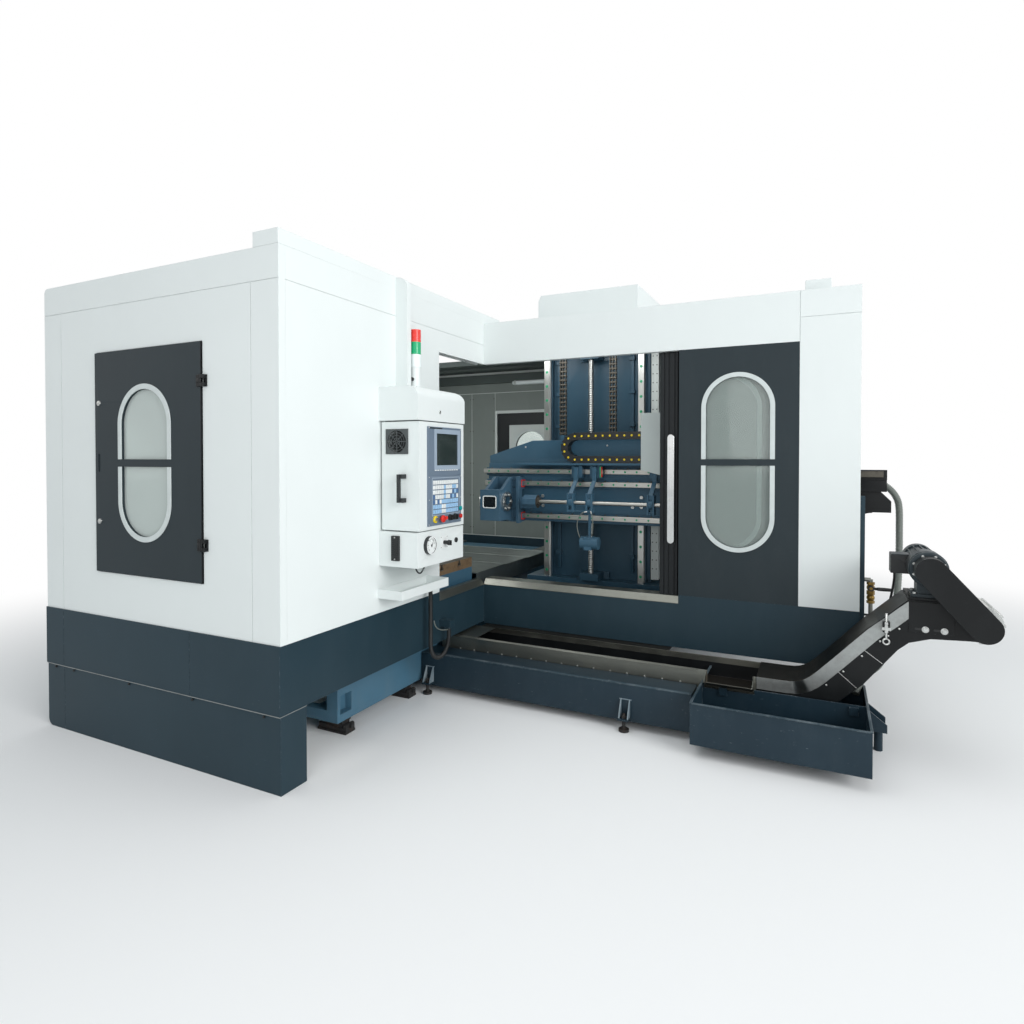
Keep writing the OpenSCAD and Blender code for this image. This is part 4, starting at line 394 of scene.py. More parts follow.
def takeNode(node, name, body, rules, base, corner=0, cuts=(), keep=None):
    # a merged copy of the node's shape: each face gets the first finish whose test of middle and normal holds, or
    # else the base, each cut (axis, mm) splits the faces that cross it, keep picks solids by low and high corner
    shape = bmesh.new()
    shape.from_mesh(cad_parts[node].data)
    bmesh.ops.remove_doubles(shape, verts=shape.verts, dist=edgeSpec["merge"])
    if keep:
        seen, drop = set(), []
        for start in shape.verts:
            if start in seen:
                continue
            island, queue = {start}, [start]
            while queue:
                for link in queue.pop().link_edges:
                    fresh = [v for v in link.verts if v not in island]
                    island.update(fresh)
                    queue += fresh
            seen |= island
            low, high = (Vector([pick(v.co[k] for v in island) for k in range(3)]) for pick in (min, max))
            if not keep(inMm(low), inMm(high)):
                drop += list(island)
        bmesh.ops.delete(shape, geom=drop, context="VERTS")
    bmesh.ops.dissolve_limit(shape, angle_limit=edgeSpec["flat"], verts=shape.verts, edges=shape.edges)
    for axis, place in cuts:
        normal = Vector([float(axis == k) for k in "XYZ"])
        bmesh.ops.bisect_plane(shape, geom=shape.verts[:] + shape.edges[:] + shape.faces[:], dist=1e-6,
                               plane_co=at(*(normal * place)), plane_no=normal)
    names = list(dict.fromkeys([rule[0] for rule in rules] + [base]))
    for face in shape.faces:
        middle = inMm(face.calc_center_median())
        face.material_index = names.index(next((wear for wear, test in rules if test(middle, face.normal)), base))
    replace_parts(dressPiece(meshObject(name, shape), names, body, corner), node)


def dressPiece(piece, names, body, corner=0):
    for finishName in names:
        piece.data.materials.append(finish[finishName])
    for face in piece.data.polygons:
        face.use_smooth = True
    piece.data.set_sharp_from_angle(angle=edgeSpec["smoothTo"])
    if corner:
        bevel = piece.modifiers.new("corner", "BEVEL")
        bevel.width = corner / 1000
        bevel.segments = edgeSpec["bevelSteps"]
        bevel.angle_limit = edgeSpec["bevelFrom"]
        bevel.harden_normals = True
    if isinstance(body, str):
        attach(piece, body)
    else:  # given two bodies and two points: the shape is only baked where it stands, nothing stretches it
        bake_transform(piece)
    return piece


# shapes that the detail pieces are built from, in mm from the inner corner
def addBox(shape, xs, ys, zs, index=0):
    corners = [shape.verts.new(at(x, y, z)) for x in xs for y in ys for z in zs]
    for loop in ((0, 1, 3, 2), (4, 6, 7, 5), (0, 4, 5, 1), (2, 3, 7, 6), (0, 2, 6, 4), (1, 5, 7, 3)):
        shape.faces.new([corners[k] for k in loop]).material_index = index


def addTurned(shape, place, axis, profile, sides=24, index=0, hexFrom=99):
    # rings of (radius, reach along the axis), closed at both ends, rings from hexFrom on are hexagonal
    aim = Vector(axis).normalized().to_track_quat("Z", "X")
    sixth = pi / 6
    rings = []
    for number, (radius, reach) in enumerate(profile):
        ring = []
        for a in circleAngles(sides):
            hexagonal = cos(sixth) / cos((a + sixth) % (2 * sixth) - sixth)
            r = radius * (hexagonal if number >= hexFrom else 1)
            ring.append(shape.verts.new(at(*place) + aim @ Vector((r * cos(a), r * sin(a), reach)) / 1000))
        rings.append(ring)
    skinRings(shape, rings, index)


def onAxis(across, depth, pair):  # across "X" takes (y, z) pairs, "Y" takes (x, z) pairs
    return at(depth, *pair) if across == "X" else at(pair[0], depth, pair[1])


def addPlate(shape, outline, across, span, index=0):  # an outline of pairs, thick along one axis
    low, high = ([shape.verts.new(onAxis(across, depth, pair)) for pair in outline] for depth in span)
    faces = [shape.faces.new(low), shape.faces.new(high[::-1])]
    for k in range(len(outline)):
        after = (k + 1) % len(outline)
        faces.append(shape.faces.new((low[k], high[k], high[after], low[after])))
    for face in faces:
        face.material_index = index


def addFrame(shape, outer, inner, across, span, index=0):  # a plate between two outlines with as many points each
    rings = [[shape.verts.new(onAxis(across, depth, pair)) for pair in line]
             for depth in span for line in (outer, inner)]
    for a, b in ((0, 1), (3, 2), (2, 0), (1, 3)):
        for k in range(len(outer)):
            after = (k + 1) % len(outer)
            shape.faces.new((rings[a][k], rings[a][after], rings[b][after], rings[b][k])).material_index = index


def roundedOutline(low, high, radius, grow=0, steps=6):
    (x0, z0), (x1, z1) = [v - grow + radius for v in low], [v + grow - radius for v in high]
    return [(x + radius * cos(a), z + radius * sin(a))
            for quarter, (x, z) in enumerate(((x1, z1), (x0, z1), (x0, z0), (x1, z0)))
            for a in (radians(90 * quarter + 90 * k / steps) for k in range(steps + 1))]


def makePiece(name, names, body, slotName, corner, *parts):  # each part is a function and what it takes
    shape = bmesh.new()
    for add, *values in parts:
        add(shape, *values)
    bmesh.ops.recalc_face_normals(shape, faces=shape.faces)
    return dressPiece(meshObject(name, shape), names, body, corner)


def spaced(start, pitch, count):
    return [start + k * pitch for k in range(count)]


windows = dict(  # window node: body and material of its pane
    fixed_window=("machine", "safetyPane"), sliding_window=("front_leaf", "safetyPaneGreen"),
    service_window=("service_door_leaf", "safetyPaneBright"), rear_window=("rear_door_leaf", "safetyPane"))
for node, (body, paneName) in windows.items():
    low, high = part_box(node)
    tall = (high.z - low.z) * 700  # the ring is in two halves, the pane is whole
    base = "".join(w.capitalize() for w in node.split("_"))
    takeNode(node, "glazing" + base, body, [], paneName, keep=lambda a, b: b.z - a.z > tall)
    takeNode(node, "gasket" + base, body, [], "windowGasket", 1.2, keep=lambda a, b: b.z - a.z <= tall)

towerTop = inMm(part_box("signal_tower")[1])
towerSteps = (68, 136, 206)  # from the top down: red, green, clear
takeNode("signal_tower", "signalTower", "machine", [
    ("redLens", lambda m, n: m.z > towerTop.z - towerSteps[0]),
    ("greenLens", lambda m, n: m.z > towerTop.z - towerSteps[1]),
    ("clearLens", lambda m, n: m.z > towerTop.z - towerSteps[2]),
    ("blackNylon", lambda m, n: m.y < towerTop.y - 62)],
    "powderCoatWhite", 1, [("Z", towerTop.z - reach) for reach in towerSteps])
print("windows and lamps made")

# front leaf: a polished bar on two posts
leafFront = inMm(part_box("sliding_door")[0]).y + 42
takeNode("sliding_door", "frontLeaf", "front_leaf", [
    ("polishedTube", lambda p, n: p.y < leafFront - 0.4)], "powderCoatBlack", 1.5)
# second leaf: an opaque pale grey sheet where its glass pane is, painted light standing in for the lit room seen
# through the glass, and a pale rim round it
secondRing = dict(halfWidth=(175.5, 226), halfHeight=(493.5, 544), z=1450, thick=2)
low, high = (inMm(corner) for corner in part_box("trailing_leaf"))
takeNode("trailing_leaf", "secondLeaf", "second_leaf", [
    ("primerGrey", lambda p, n: abs(n.y) > 0.9 and low.y + 8 < p.y < low.y + 18)], "powderCoatBlack", 1.5)
middle = (low.x + high.x) / 2
inner, outer = (roundedOutline((middle - w, secondRing["z"] - h), (middle + w, secondRing["z"] + h), w, 0, 16)
                for w, h in zip(secondRing["halfWidth"], secondRing["halfHeight"]))
makePiece("secondLeafRing", ["primerGrey"], "second_leaf", "black_paint", 0.5,
    (addFrame, outer, inner, "Y", (low.y - secondRing["thick"], low.y)))


# small heads, repeated by geometry nodes
def makeRepeatTree():
    tree = bpy.data.node_groups.new("headsOnPoints", "GeometryNodeTree")
    tree.is_modifier = True
    tree.interface.new_socket("Geometry", in_out="OUTPUT", socket_type="NodeSocketGeometry")
    for label, kind in (("Geometry", "Geometry"), ("Head", "Object"), ("Turn", "Vector"), ("Spin", "Float"),
                        ("Size", "Float"), ("Finish", "Material")):
        tree.interface.new_socket(label, in_out="INPUT", socket_type="NodeSocket" + kind)
    add = functools.partial(addNode, tree)
    given = add("NodeGroupInput").outputs
    head = add("GeometryNodeObjectInfo", {"Object": given["Head"]}).outputs["Geometry"]
    turn = add("FunctionNodeEulerToRotation", [given["Turn"]])
    placed = add("GeometryNodeInstanceOnPoints", {
        "Points": given["Geometry"], "Instance": head, "Rotation": turn, "Scale": given["Size"]})
    chance = add("FunctionNodeRandomValue", {2: 0.0, 3: given["Spin"], "Seed": 7}, data_type="FLOAT")
    about = add("ShaderNodeCombineXYZ", {"Z": chance})
    swing = add("FunctionNodeEulerToRotation", [about])
    spun = add("GeometryNodeRotateInstances", {"Instances": placed, "Rotation": swing})
    solid = add("GeometryNodeRealizeInstances", [spun])
    add("NodeGroupOutput", [add("GeometryNodeSetMaterial", {"Geometry": solid, "Material": given["Finish"]})])
    return tree


repeatTree = makeRepeatTree()
headSpecs = dict(  # profile of (radius, height) in mm, and the ring from which it is a hexagon
    plug=dict(profile=[(10, 0), (10, 0.5), (9.2, 0.9), (3.2, 0.9), (2.8, 0.6)]),
    plugSmall=dict(profile=[(7, 0), (7, 0.4), (6.3, 0.8), (2.4, 0.8), (2.1, 0.5)]),
    socketScrew=dict(profile=[(6, 0), (6, 5), (5.2, 6), (3.4, 6), (3.1, 2.4)], hexFrom=3),
    buttonScrew=dict(profile=[(6.5, 0), (6.2, 1.2), (4.6, 2.6), (2.6, 3), (2.3, 1.4)], hexFrom=3),
    hexBolt=dict(profile=[(11, 0), (11, 1.6), (9, 1.6), (9, 7.2), (8, 8)], hexFrom=2),
    bigScrew=dict(profile=[(12, 0), (12, 7), (10.8, 8.4), (6, 8.4), (5.6, 3)], hexFrom=3),
    pin=dict(profile=[(7.2, 0), (7.2, 1.1), (6.2, 1.8), (3.6, 1.8), (3, 0.8)]))
headShapes = {}
for headName, spec in headSpecs.items():
    shape = bmesh.new()
    addTurned(shape, tuple(cornerPoint * 1000), (0, 0, 1), **spec)
    headShapes[headName] = meshObject("head" + headName, shape)
facingFront, facingRight, facingUp = (90, 0, 0), (0, 90, 0), (0, 0, 0)


def scatter(name, body, finishName, head, points, turn=facingFront, size=1.0):
    data = bpy.data.meshes.new(name)
    data.from_pydata([at(*p) for p in points], [], [])
    piece = addObject(name, data)
    modifier = piece.modifiers.new("heads", "NODES")
    modifier.node_group = repeatTree
    values = dict(Head=headShapes[head], Turn=[radians(a) for a in turn], Spin=6.28, Size=size,
                  Finish=finish[finishName])
    for item in repeatTree.interface.items_tree:
        if item.in_out == "INPUT" and item.name in values:
            modifier[item.identifier] = values[item.name]
    evaluated = piece.evaluated_get(bpy.context.evaluated_depsgraph_get())
    piece.data = bpy.data.meshes.new_from_object(evaluated)
    piece.modifiers.clear()
    dressPiece(piece, [], body)


columnPlugs = dict(xs=(252, 963), y=520, zs=spaced(645, 105, 17))
scatter("columnRailPlugs", "machine", "greenCap", "plug",
        [(x, columnPlugs["y"], z) for x in columnPlugs["xs"] for z in columnPlugs["zs"]])
feedPlugs = dict(xs=spaced(-136, 80, 26), y=331, zs=(1059, 1293, 1381))
feedSpots = [(x, z) for z in feedPlugs["zs"] for x in feedPlugs["xs"]]
scatter("beamRailPlugs", "lift", "greenCap", "plugSmall", [(x, feedPlugs["y"], z) for x, z in feedSpots])
scatter("beamGibScrews", "lift", "oiledSteel", "socketScrew",
        [(x + 12, 360, z + 22) for x, z in feedSpots if x < 2200], size=0.85)
chainPins = dict(y=274.5, x=565, z=1465, pitch=50, count=20, bends=5)
bendRadius = chainPins["pitch"] / 2 / sin(radians(90 / chainPins["bends"]))
pinSpots = [(x, chainPins["z"] + lift) for x in spaced(chainPins["x"], chainPins["pitch"], chainPins["count"] + 1)
            for lift in (0, 2 * bendRadius)]
pinSpots += [(chainPins["x"] - bendRadius * sin(a), chainPins["z"] + bendRadius * (1 - cos(a)))
             for a in (pi * k / chainPins["bends"] for k in range(1, chainPins["bends"]))]
scatter("chainLinkPins", "lift", "yellowNylon", "pin", [(x, chainPins["y"], z) for x, z in pinSpots])
scatter("beamFaceScrews", "lift", "zincPlate", "bigScrew",
        [(284, 372, 1203), (287, 372, 1134), (1007, 372, 1209), (947, 372, 1143), (1007, 372, 1145)])
scatter("beamWebRivets", "lift", "zincPlate", "buttonScrew", [(137, 392, 1557), (760, 392, 1562)])
scatter("plinthScrews", "machine", "blackNylon", "socketScrew",
        [(x, -1843, 334) for x in (-1661, -1500, -1034, -561, -97)])
bandLip = dict(z=(344.6, 347.8), front=(-1847, -1840.9), side=(-1.5, 1.8), ends=(-1741, -1687))
makePiece("bandLip", ["bareStripSteel"], "machine", "rail_steel", 0,
    (addBox, (bandLip["ends"][0], bandLip["side"][1]), bandLip["front"], bandLip["z"]),
    (addBox, bandLip["side"], (bandLip["front"][1], bandLip["ends"][1]), bandLip["z"]))
scatter("troughSeamScrews", "machine", "zincPlate", "socketScrew",
        [(x, -334, 247) for x in range(-90, 1500, 100)], turn=facingUp, size=0.8)
print("repeated heads made")

# work cabin: inner panels, roof, lamp and cable duct
linerPanels = [  # X range and Z range on the rear wall, round the rear door
    ((-1696, -1292), (664, 2161)), ((-1286, -1012), (664, 2161)), ((-1006, -212), (1975, 2161)),
    ((-206, -44), (664, 2161)), ((-1006, -212), (664, 880)), ((-1696, -44), (2167, 2330))]
# inner panels on the rear wall, in a grey that carries painted shade
makePiece("linerPanels", ["linerEnamel"], "machine", "wall_paint", 1,
    *((addBox, xs, (2098.5, 2100.8), zs) for xs, zs in linerPanels))
scatter("linerScrews", "machine", "oiledSteel", "buttonScrew",
        [(x, 2098.6, z) for x in (-1305, -1274, -1022) for z in (740, 1082, 1423, 1763, 2103)], size=0.9)
rearRoof = dict(x=(-1701, -41), y=(1390, 2163), z=(2380, 2399.5), ribs=((1390, 28), (1755, 22)))


def addRearRoof(shape):  # a sheet over the back, with its front flange and a rib
    (under, top), span = rearRoof["z"], rearRoof["x"]
    addBox(shape, span, rearRoof["y"], (under, top))
    for y, reach in rearRoof["ribs"]:
        addBox(shape, span, (y, y + 3), (under - reach, under))
        addBox(shape, span, (y, y + 24), (under - reach - 3, under - reach))
    for face in shape.faces:
        # top faces keep the white, all other faces take the dark ceiling grey of painted shade
        face.material_index = int(inMm(face.calc_center_median()).z > top - 0.1)


makePiece("rearRoof", ["ceilingEnamel", "powderCoatWhite"], "machine", "wall_paint", 1, (addRearRoof,))
tubeLamp = dict(x=-780, y=2052, z=2252)
makePiece("tubeLamp", ["clearLens", "powderCoatGrey"], "machine", "wall_paint", 1,
    (addBox, (tubeLamp["x"] + 30, tubeLamp["x"] + 630), (2070, 2100.5), (2232, 2272), 1),
    (addTurned, tubeLamp.values(), (1, 0, 0), [(12, 0), (19, 5), (21, 40), (21, 620), (19, 655), (12, 660)], 28),
    *((addTurned, (tubeLamp["x"] + along, tubeLamp["y"], tubeLamp["z"]), (1, 0, 0),
       [(21, 0), (24, 2), (24, 22), (21, 24)], 28, 1) for along in (20, 616)))
ductStrip = dict(x=(1021, 1074), post=(994, 1018), z=(622, 2366))
makePiece("cableDuct", ["powderCoatGrey", "castingEnamel"], "machine", "wall_paint", 3,
    (addBox, ductStrip["x"], (572, 640), ductStrip["z"]),
    (addBox, ductStrip["post"], (566, 600.5), ductStrip["z"], 1))
# black dots where the duct cover's perforations are: painted shade for the dark seen through the holes
scatter("ductHoles", "machine", "blackNylon", "pin",
        [(x, 571.6, z) for z in spaced(700, 62, 27) for x in (1034, 1061)], size=0.55)

# column, its motor, chains and screw, and the table
chainSpan = dict(x=607.5, y=420)
chainEnds = (2385, inMm(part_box("lift_chains")[0]).z + 5)
takeNode("lift_chains", "liftChains", ("machine", "lift", *(at(z=z, **chainSpan) for z in chainEnds)),
         [], "oiledSteel")
screwSpec = dict(x=607.5, y=492, radius=20, z=(650.5, 2179.5), pitch=16, depth=3, rings=6, sides=24,
                 ends=((610, 650.6), (2179.4, 2230)), endRadius=15)


def addThread(shape):
    sides, turns = screwSpec["sides"], (screwSpec["z"][1] - screwSpec["z"][0]) / screwSpec["pitch"]
    rings = []
    for i in range(round(turns * screwSpec["rings"]) + 1):
        z = screwSpec["z"][0] + screwSpec["pitch"] * min(turns, i / screwSpec["rings"])
        ring = []
        for k in range(sides):
            a, phase = 2 * pi * k / sides, (i / screwSpec["rings"] - k / sides) % 1
            r = screwSpec["radius"] - screwSpec["depth"] * max(0, min(1, 2.5 - abs(phase * 8 - 4)))
            ring.append(shape.verts.new(at(screwSpec["x"] + r * cos(a), screwSpec["y"] + r * sin(a), z)))
        rings.append(ring)
    skinRings(shape, rings)


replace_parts(makePiece(
    "liftScrew", ["groundSteelUpright"], "screw", "rail_steel", 0,
    *((addTurned, (screwSpec["x"], screwSpec["y"], low), (0, 0, 1), [
        (screwSpec["endRadius"], 0), (screwSpec["endRadius"], high - low)]) for low, high in screwSpec["ends"]),
    (addThread,)), "lift_screw")
# roof sheets: faces that point down, and the low faces at the back, take the dark ceiling grey of painted shade; the
# rest is white
takeNode("roof", "roofSheets", "machine", [
    ("ceilingEnamel", lambda p, n: n.z < -0.5 or p.y > 1900 and p.z < 2355)], "powderCoatWhite", 2)
beamTail = 2262  # outside the right wall
for node, name, slotName, tail, base, corner in (
        ("beam", "drillBeam", "beam_paint", "blackEnamel", "beamEnamel", 1.5),
        ("beam_rails", "feedRails", "rail_steel", "oiledSteel", "groundSteel", 0.5)):
    takeNode(node, name, "lift", [(tail, lambda p, n: p.x > beamTail)], base, corner, [("X", beamTail)])
lockFront = inMm(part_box("service_window")[0]).y + 3
takeNode("service_door", "serviceDoorLeaf", "service_door_leaf", [
    ("zincPlate", lambda p, n: p.y < min(-1842, lockFront) and -1262 < p.x < -1230
     and min(abs(p.z - 1149), abs(p.z - 1757)) < 15),
    ("blackEnamel", lambda p, n: p.x > -520)], "powderCoatDark", 1.5)
takeNode("column", "columnCasting", "machine", [
    ("blackEnamel", lambda p, n: p.z > 2255 and 540 < p.x < 675 and p.y < 556)], "castingEnamel", 2)
takeNode("table", "workTable", "work_table", [
    ("oxidisedIron", lambda p, n: abs(n.x) > 0.5 and p.z > 716),
    ("tableIron", lambda p, n: p.z > 730 and abs(n.x) < 0.5 or n.z < -0.5)], "beamEnamel", 1.5, [("Z", 718)])
takeNode("bed", "machineBed", "machine", [("groundSteel", lambda p, n: p.z > 601)], "bedEnamel", 2)

# rear door: a light panel inside a black frame
rearFrame = dict(x=(-852, -364), z=(1010, 1822))
takeNode("rear_door", "rearDoorLeaf", "rear_door_leaf", [
    ("powderCoatGrey", lambda p, n: n.y < -0.5 and rearFrame["x"][0] < p.x < rearFrame["x"][1]
     and rearFrame["z"][0] < p.z < rearFrame["z"][1])],
    "powderCoatBlack", 1.5, [(axis.upper(), place) for axis, places in rearFrame.items() for place in places])


# pressure head
def nearHead(p, reach):
    return hypot(p.y - 178, p.z - 1168) < reach


takeNode("drill_head", "pressureHead", "head", [
    ("oiledSteel", lambda p, n: p.x > 329.9),
    ("zincPlate", lambda p, n: 79.2 < p.x < 106 and nearHead(p, 70) or p.x < -75.2 and nearHead(p, 76)),
    ("blackEnamel", lambda p, n: -62 < p.x < 66 and 84.5 < p.y < 200 and 1036 < p.z < 1240 and not n.z > 0.9)],
    "headEnamel", 1.5)
headWindow = ((-54, 1123), (55, 1212))
headSight = roundedOutline(*headWindow, 11, -7)
makePiece("headWindowFrame", ["whiteKeycap", "darkWindow"], "head", "white_paint", 0.8,
    (addFrame, roundedOutline(*headWindow, 17), headSight, "Y", (80.8, 84)),
    (addPlate, headSight, "Y", (83, 86), 1))
makePiece("railWipers", ["redNylon"], "head", "red_plastic", 0.6,
    *((addFrame, roundedOutline((292, z - 27), (357, z + 27), 4),
       roundedOutline((301, z - 19), (357.5, z + 19), 1.5), "X", (147.3, 150.3)) for z in feedPlugs["zs"][:2]))

# steady rests: end plates, and the fittings of the pump's two hoses
makePiece("restEndPlates", ["greenCap", "redNylon"], "rest_b", "red_plastic", 1.2,
    (addBox, (746.4, 754), (268, 300), (1343, 1419)), (addBox, (754, 758), (272, 300), (1346, 1416), 1))
makePiece("hoseFittings", ["zincPlate"], "rest_b", "rail_steel", 0,
    *((addTurned, end, Vector(after) - Vector(end), [(6, -5), (6, 4), (4.6, 6), (4.6, 12), (3.6, 13)], 12)
      for points in (cordSpecs["pumpInlet"]["points"], cordSpecs["pumpOutlet"]["points"])
      for end, after in (points[:2], points[:-3:-1])))
print("work cabin and beam made")


# operator panel
def keyFinish(p):
    column, row = int((p.y + 1031.5) // 21.5), int((p.z - 1177) // 26)
    if (row, column) in ((2, 0), (2, 2), (3, 8), (3, 10), (4, 9), (4, 11), (3, 0)):
        return "navyKeycap"
    if row in (0, 1) and column not in (4, 5) or row == 2 and column > 3 or row in (3, 4, 5) and column in (5, 9, 10):
        return "paleBlueKeycap"
    return "whiteKeycap"


def onKey(name):
    return lambda p, n: p.z > 1177 and p.z < 1360 and p.x > 257.2 and keyFinish(p) == name


def nearKnob(p, y, reach):
    return hypot(p.y - y, p.z - 1149) < reach


takeNode("control_panel", "controlPanel", "operator_panel", [
    ("screenGlass", lambda p, n: p.x < 254.8 and -997 < p.y < -779 and 1435 < p.z < 1607),
    ("whiteKeycap", lambda p, n: p.x > 257.2 and 1400 < p.z < 1420),
    ("zincPlate", lambda p, n: p.x > 263.2 and nearKnob(p, -1011, 10.2)),
    ("yellowNylon", lambda p, n: p.x > 257.2 and nearKnob(p, -1011, 19.5)),
    ("redLens", lambda p, n: p.x > 257.2 and nearKnob(p, -908, 10.5)),
    *((name, onKey(name)) for name in ("navyKeycap", "paleBlueKeycap", "whiteKeycap"))], "panelEnamel", 0.5)
panelTrim = dict(screen=((-996, 1436), (-780, 1606)), border=24, x=256.9, bar=((-1061, 1630), (-940, 1637)),
                 keys=((-1036, 1172), (-763, 1366)))
makePiece("panelTrim", ["panelEnamelLight", "blackNylon"], "operator_panel", "bezel_paint", 1,
    (addFrame, roundedOutline(*panelTrim["screen"], 5, panelTrim["border"]),
     roundedOutline(*panelTrim["screen"], 1.5), "X", (panelTrim["x"], 260.5)),
    (addPlate, roundedOutline(*panelTrim["bar"], 2), "X", (panelTrim["x"], 259), 1),
    (addFrame, roundedOutline(*panelTrim["keys"], 4, 5), roundedOutline(*panelTrim["keys"], 2), "X",
     (panelTrim["x"], 258.4)))
scatter("panelScrews", "operator_panel", "zincPlate", "buttonScrew",
        [(257, y, z) for y in (-1066, -749) for z in (1124, 1254, 1374, 1634)], turn=facingRight, size=0.55)
takeNode("pendant_case", "panelCase", "operator_panel", [
    ("fanGuardGrey", lambda p, n: p.y < -1145.2 and p.x < 185 and p.z > 1490),
    ("blackNylon", lambda p, n: hypot(p.x - 111, p.z - 1561) < 60.8 and p.y < -1101),
    ("handleGrey", lambda p, n: p.y < -1145.2)], "powderCoatWhite", 2)
gauge = dict(y=-1053, z=1016, x=262.2, marks=27, start=-45, sweep=270)


def nearGauge(p, reach):
    return hypot(p.y - gauge["y"], p.z - gauge["z"]) < reach


takeNode("pendant_base", "panelBase", "machine", [
    ("whiteKeycap", lambda p, n: p.x > 261 and n.x > 0.9 and nearGauge(p, 42)),
    ("handleGrey", lambda p, n: p.x > 244.1 and nearGauge(p, 49)),
    ("blackNylon", lambda p, n: p.x > 244.1 or p.y < -1155.2 and p.z > 930)], "powderCoatWhite", 1.5)


def addMarks(shape):  # every fifth mark of the scale is longer and wider
    for k in range(gauge["marks"]):
        a = radians(gauge["start"] + gauge["sweep"] * k / (gauge["marks"] - 1))
        inner, half = (27, 1.1) if k % 5 == 1 else (32, 0.6)
        out, side = Vector((cos(a), sin(a))), Vector((-sin(a), cos(a)))
        corners = [Vector((gauge["y"], gauge["z"])) + out * r + side * h
                   for r, h in ((inner, -half), (36, -half), (36, half), (inner, half))]
        addPlate(shape, corners, "X", (gauge["x"] - 0.3, gauge["x"] + 0.5))


makePiece("gaugeMarks", ["blackNylon"], "machine", "black_plastic", 0, (addMarks,),
    (addPlate, [(-1055.5, 1006), (-1050.5, 1006), (-1034, 1044), (-1035, 1044.5)], "X", (263.2, 264)),
    (addTurned, (262, gauge["y"], gauge["z"]), (1, 0, 0), [(5.5, 0), (5.5, 2.6), (4, 3.2)], 16))
baseTrim = dict(selector=((-938, 982), (-866, 1050)), ribs=spaced(962, 10.5, 9))
makePiece("baseTrim", ["whiteKeycap", "blackNylon"], "machine", "white_paint", 0.8,
    (addPlate, roundedOutline(*baseTrim["selector"], 6), "X", (243.8, 245)),
    (addTurned, (269.5, -902, 1014), (1, 0, 0), [(12, 0), (15, 2), (14, 14), (12, 16)], 20, 1),
    (addBox, (285, 292), (-905, -899), (1001, 1027), 1),
    (addTurned, (249.5, -779, 1014), (1, 0, 0), [(14, 0), (14, 1), (11, 3), (9, 3), (8.6, 1)], 24, 1),
    *((addBox, (94, 127), (-1172.5, -1168.5), (z, z + 4.5), 1) for z in baseTrim["ribs"]))
scatter("baseScrews", "machine", "oiledSteel", "buttonScrew",
        [(245, y, z) for y in (-932, -872) for z in (988, 1044)], turn=facingRight, size=0.4)
scatter("louvreScrews", "machine", "zincPlate", "socketScrew",
        [(110.5, -1169, z) for z in (949, 1062)], size=0.6)
makePiece("headLock", ["zincPlate"], "machine", "rail_steel", 0,
    (addTurned, (247.2, -946, 1722), (1, 0, 0), [(9, 0), (9, 1.5), (7.6, 2.6), (3, 2.6), (2.6, 1.4)]))
print("operator panel made")


# chip conveyor, gearmotor and pipe
def offsetLine(line, inward):
    moved = []
    for k, spot in enumerate(line):
        before, after = line[max(k - 1, 0)], line[min(k + 1, len(line) - 1)]
        heading = (Vector(after) - Vector(before)).normalized()
        moved.append((spot[0] + heading.y * inward, spot[1] - heading.x * inward))
    return moved


def addBand(shape, line, inward, ys):  # a strip along a line of (x, z)
    moved = offsetLine(line, inward)
    for k in range(len(line) - 1):
        addPlate(shape, [line[k], line[k + 1], moved[k + 1], moved[k]], "Y", ys)
    bmesh.ops.remove_doubles(shape, verts=shape.verts, dist=1e-6)


sideBand = dict(y=(-332.6, -329.8), width=62, top=[
    (1802, 332), (1880, 332), (1940, 332), (1974, 334), (2002, 340), (2028, 352), (2052, 369), (2076, 391),
    (2150, 469), (2230, 556), (2308, 640), (2345, 674), (2390, 713), (2432, 753), (2477, 793)])
topSkin = dict(y=(-326, -64), thick=2.5)
makePiece("conveyorSideBand", ["bareStripSteel"], "machine", "stainless", 0,
    (addBand, sideBand["top"], sideBand["width"], sideBand["y"]))
scatter("conveyorScrews", "machine", "zincPlate", "buttonScrew",
        [(x, -330.2, z) for x, z in offsetLine(sideBand["top"], sideBand["width"] + 12)[7:13]], size=0.75)
makePiece("conveyorTopSkin", ["oiledSheet"], "machine", "black_paint", 0,
    (addBand, sideBand["top"], -topSkin["thick"], topSkin["y"]))
panelSeams = [((2262, 560), (2372, 480)), ((2150, 440), (2262, 345))]


def addSeam(shape, start, end):  # a strip 2.4 mm wide
    x, z = (Vector(end) - Vector(start)).normalized() * 1.2
    (x0, z0), (x1, z1) = start, end
    addPlate(shape, [(x0 - z, z0 + x), (x1 - z, z1 + x), (x1 + z, z1 - x), (x0 + z, z0 - x)], "Y", (-330.9, -329.9))


makePiece("conveyorSeams", ["zincPlate"], "machine", "black_paint", 0, *((addSeam, *ends) for ends in panelSeams))
slotPlate = dict(slots=((2502, 2545), (2577, 2620)), z=668)


def addSlotBolt(shape, x0, x1):
    z = slotPlate["z"]
    addPlate(shape, roundedOutline((x0, z - 5), (x1 + 6, z + 5), 4.9), "Y", (-335.6, -334.8), 1)
    addTurned(shape, (x1, -335.2, z), (0, -1, 0), [(15, 0), (15, 2), (11, 2), (11, 7), (10, 8.4)])


makePiece("slotBolts", ["zincPlate", "blackNylon"], "machine", "black_paint", 0,
    *((addSlotBolt, *slot) for slot in slotPlate["slots"]))
tensioner = dict(x=2385, y=-345, eyeZ=594, eyeRadius=13, wire=4.6)


def addEye(shape):
    x, y, z, r = (tensioner[key] for key in ("x", "y", "eyeZ", "eyeRadius"))
    ring = [at(x + r * cos(a), y, z + r * sin(a)) for a in circleAngles(20, 21)]
    addTube(shape, smoothPath(ring, 0.002)[0], lambda gone: tensioner["wire"] / 1000, 10)


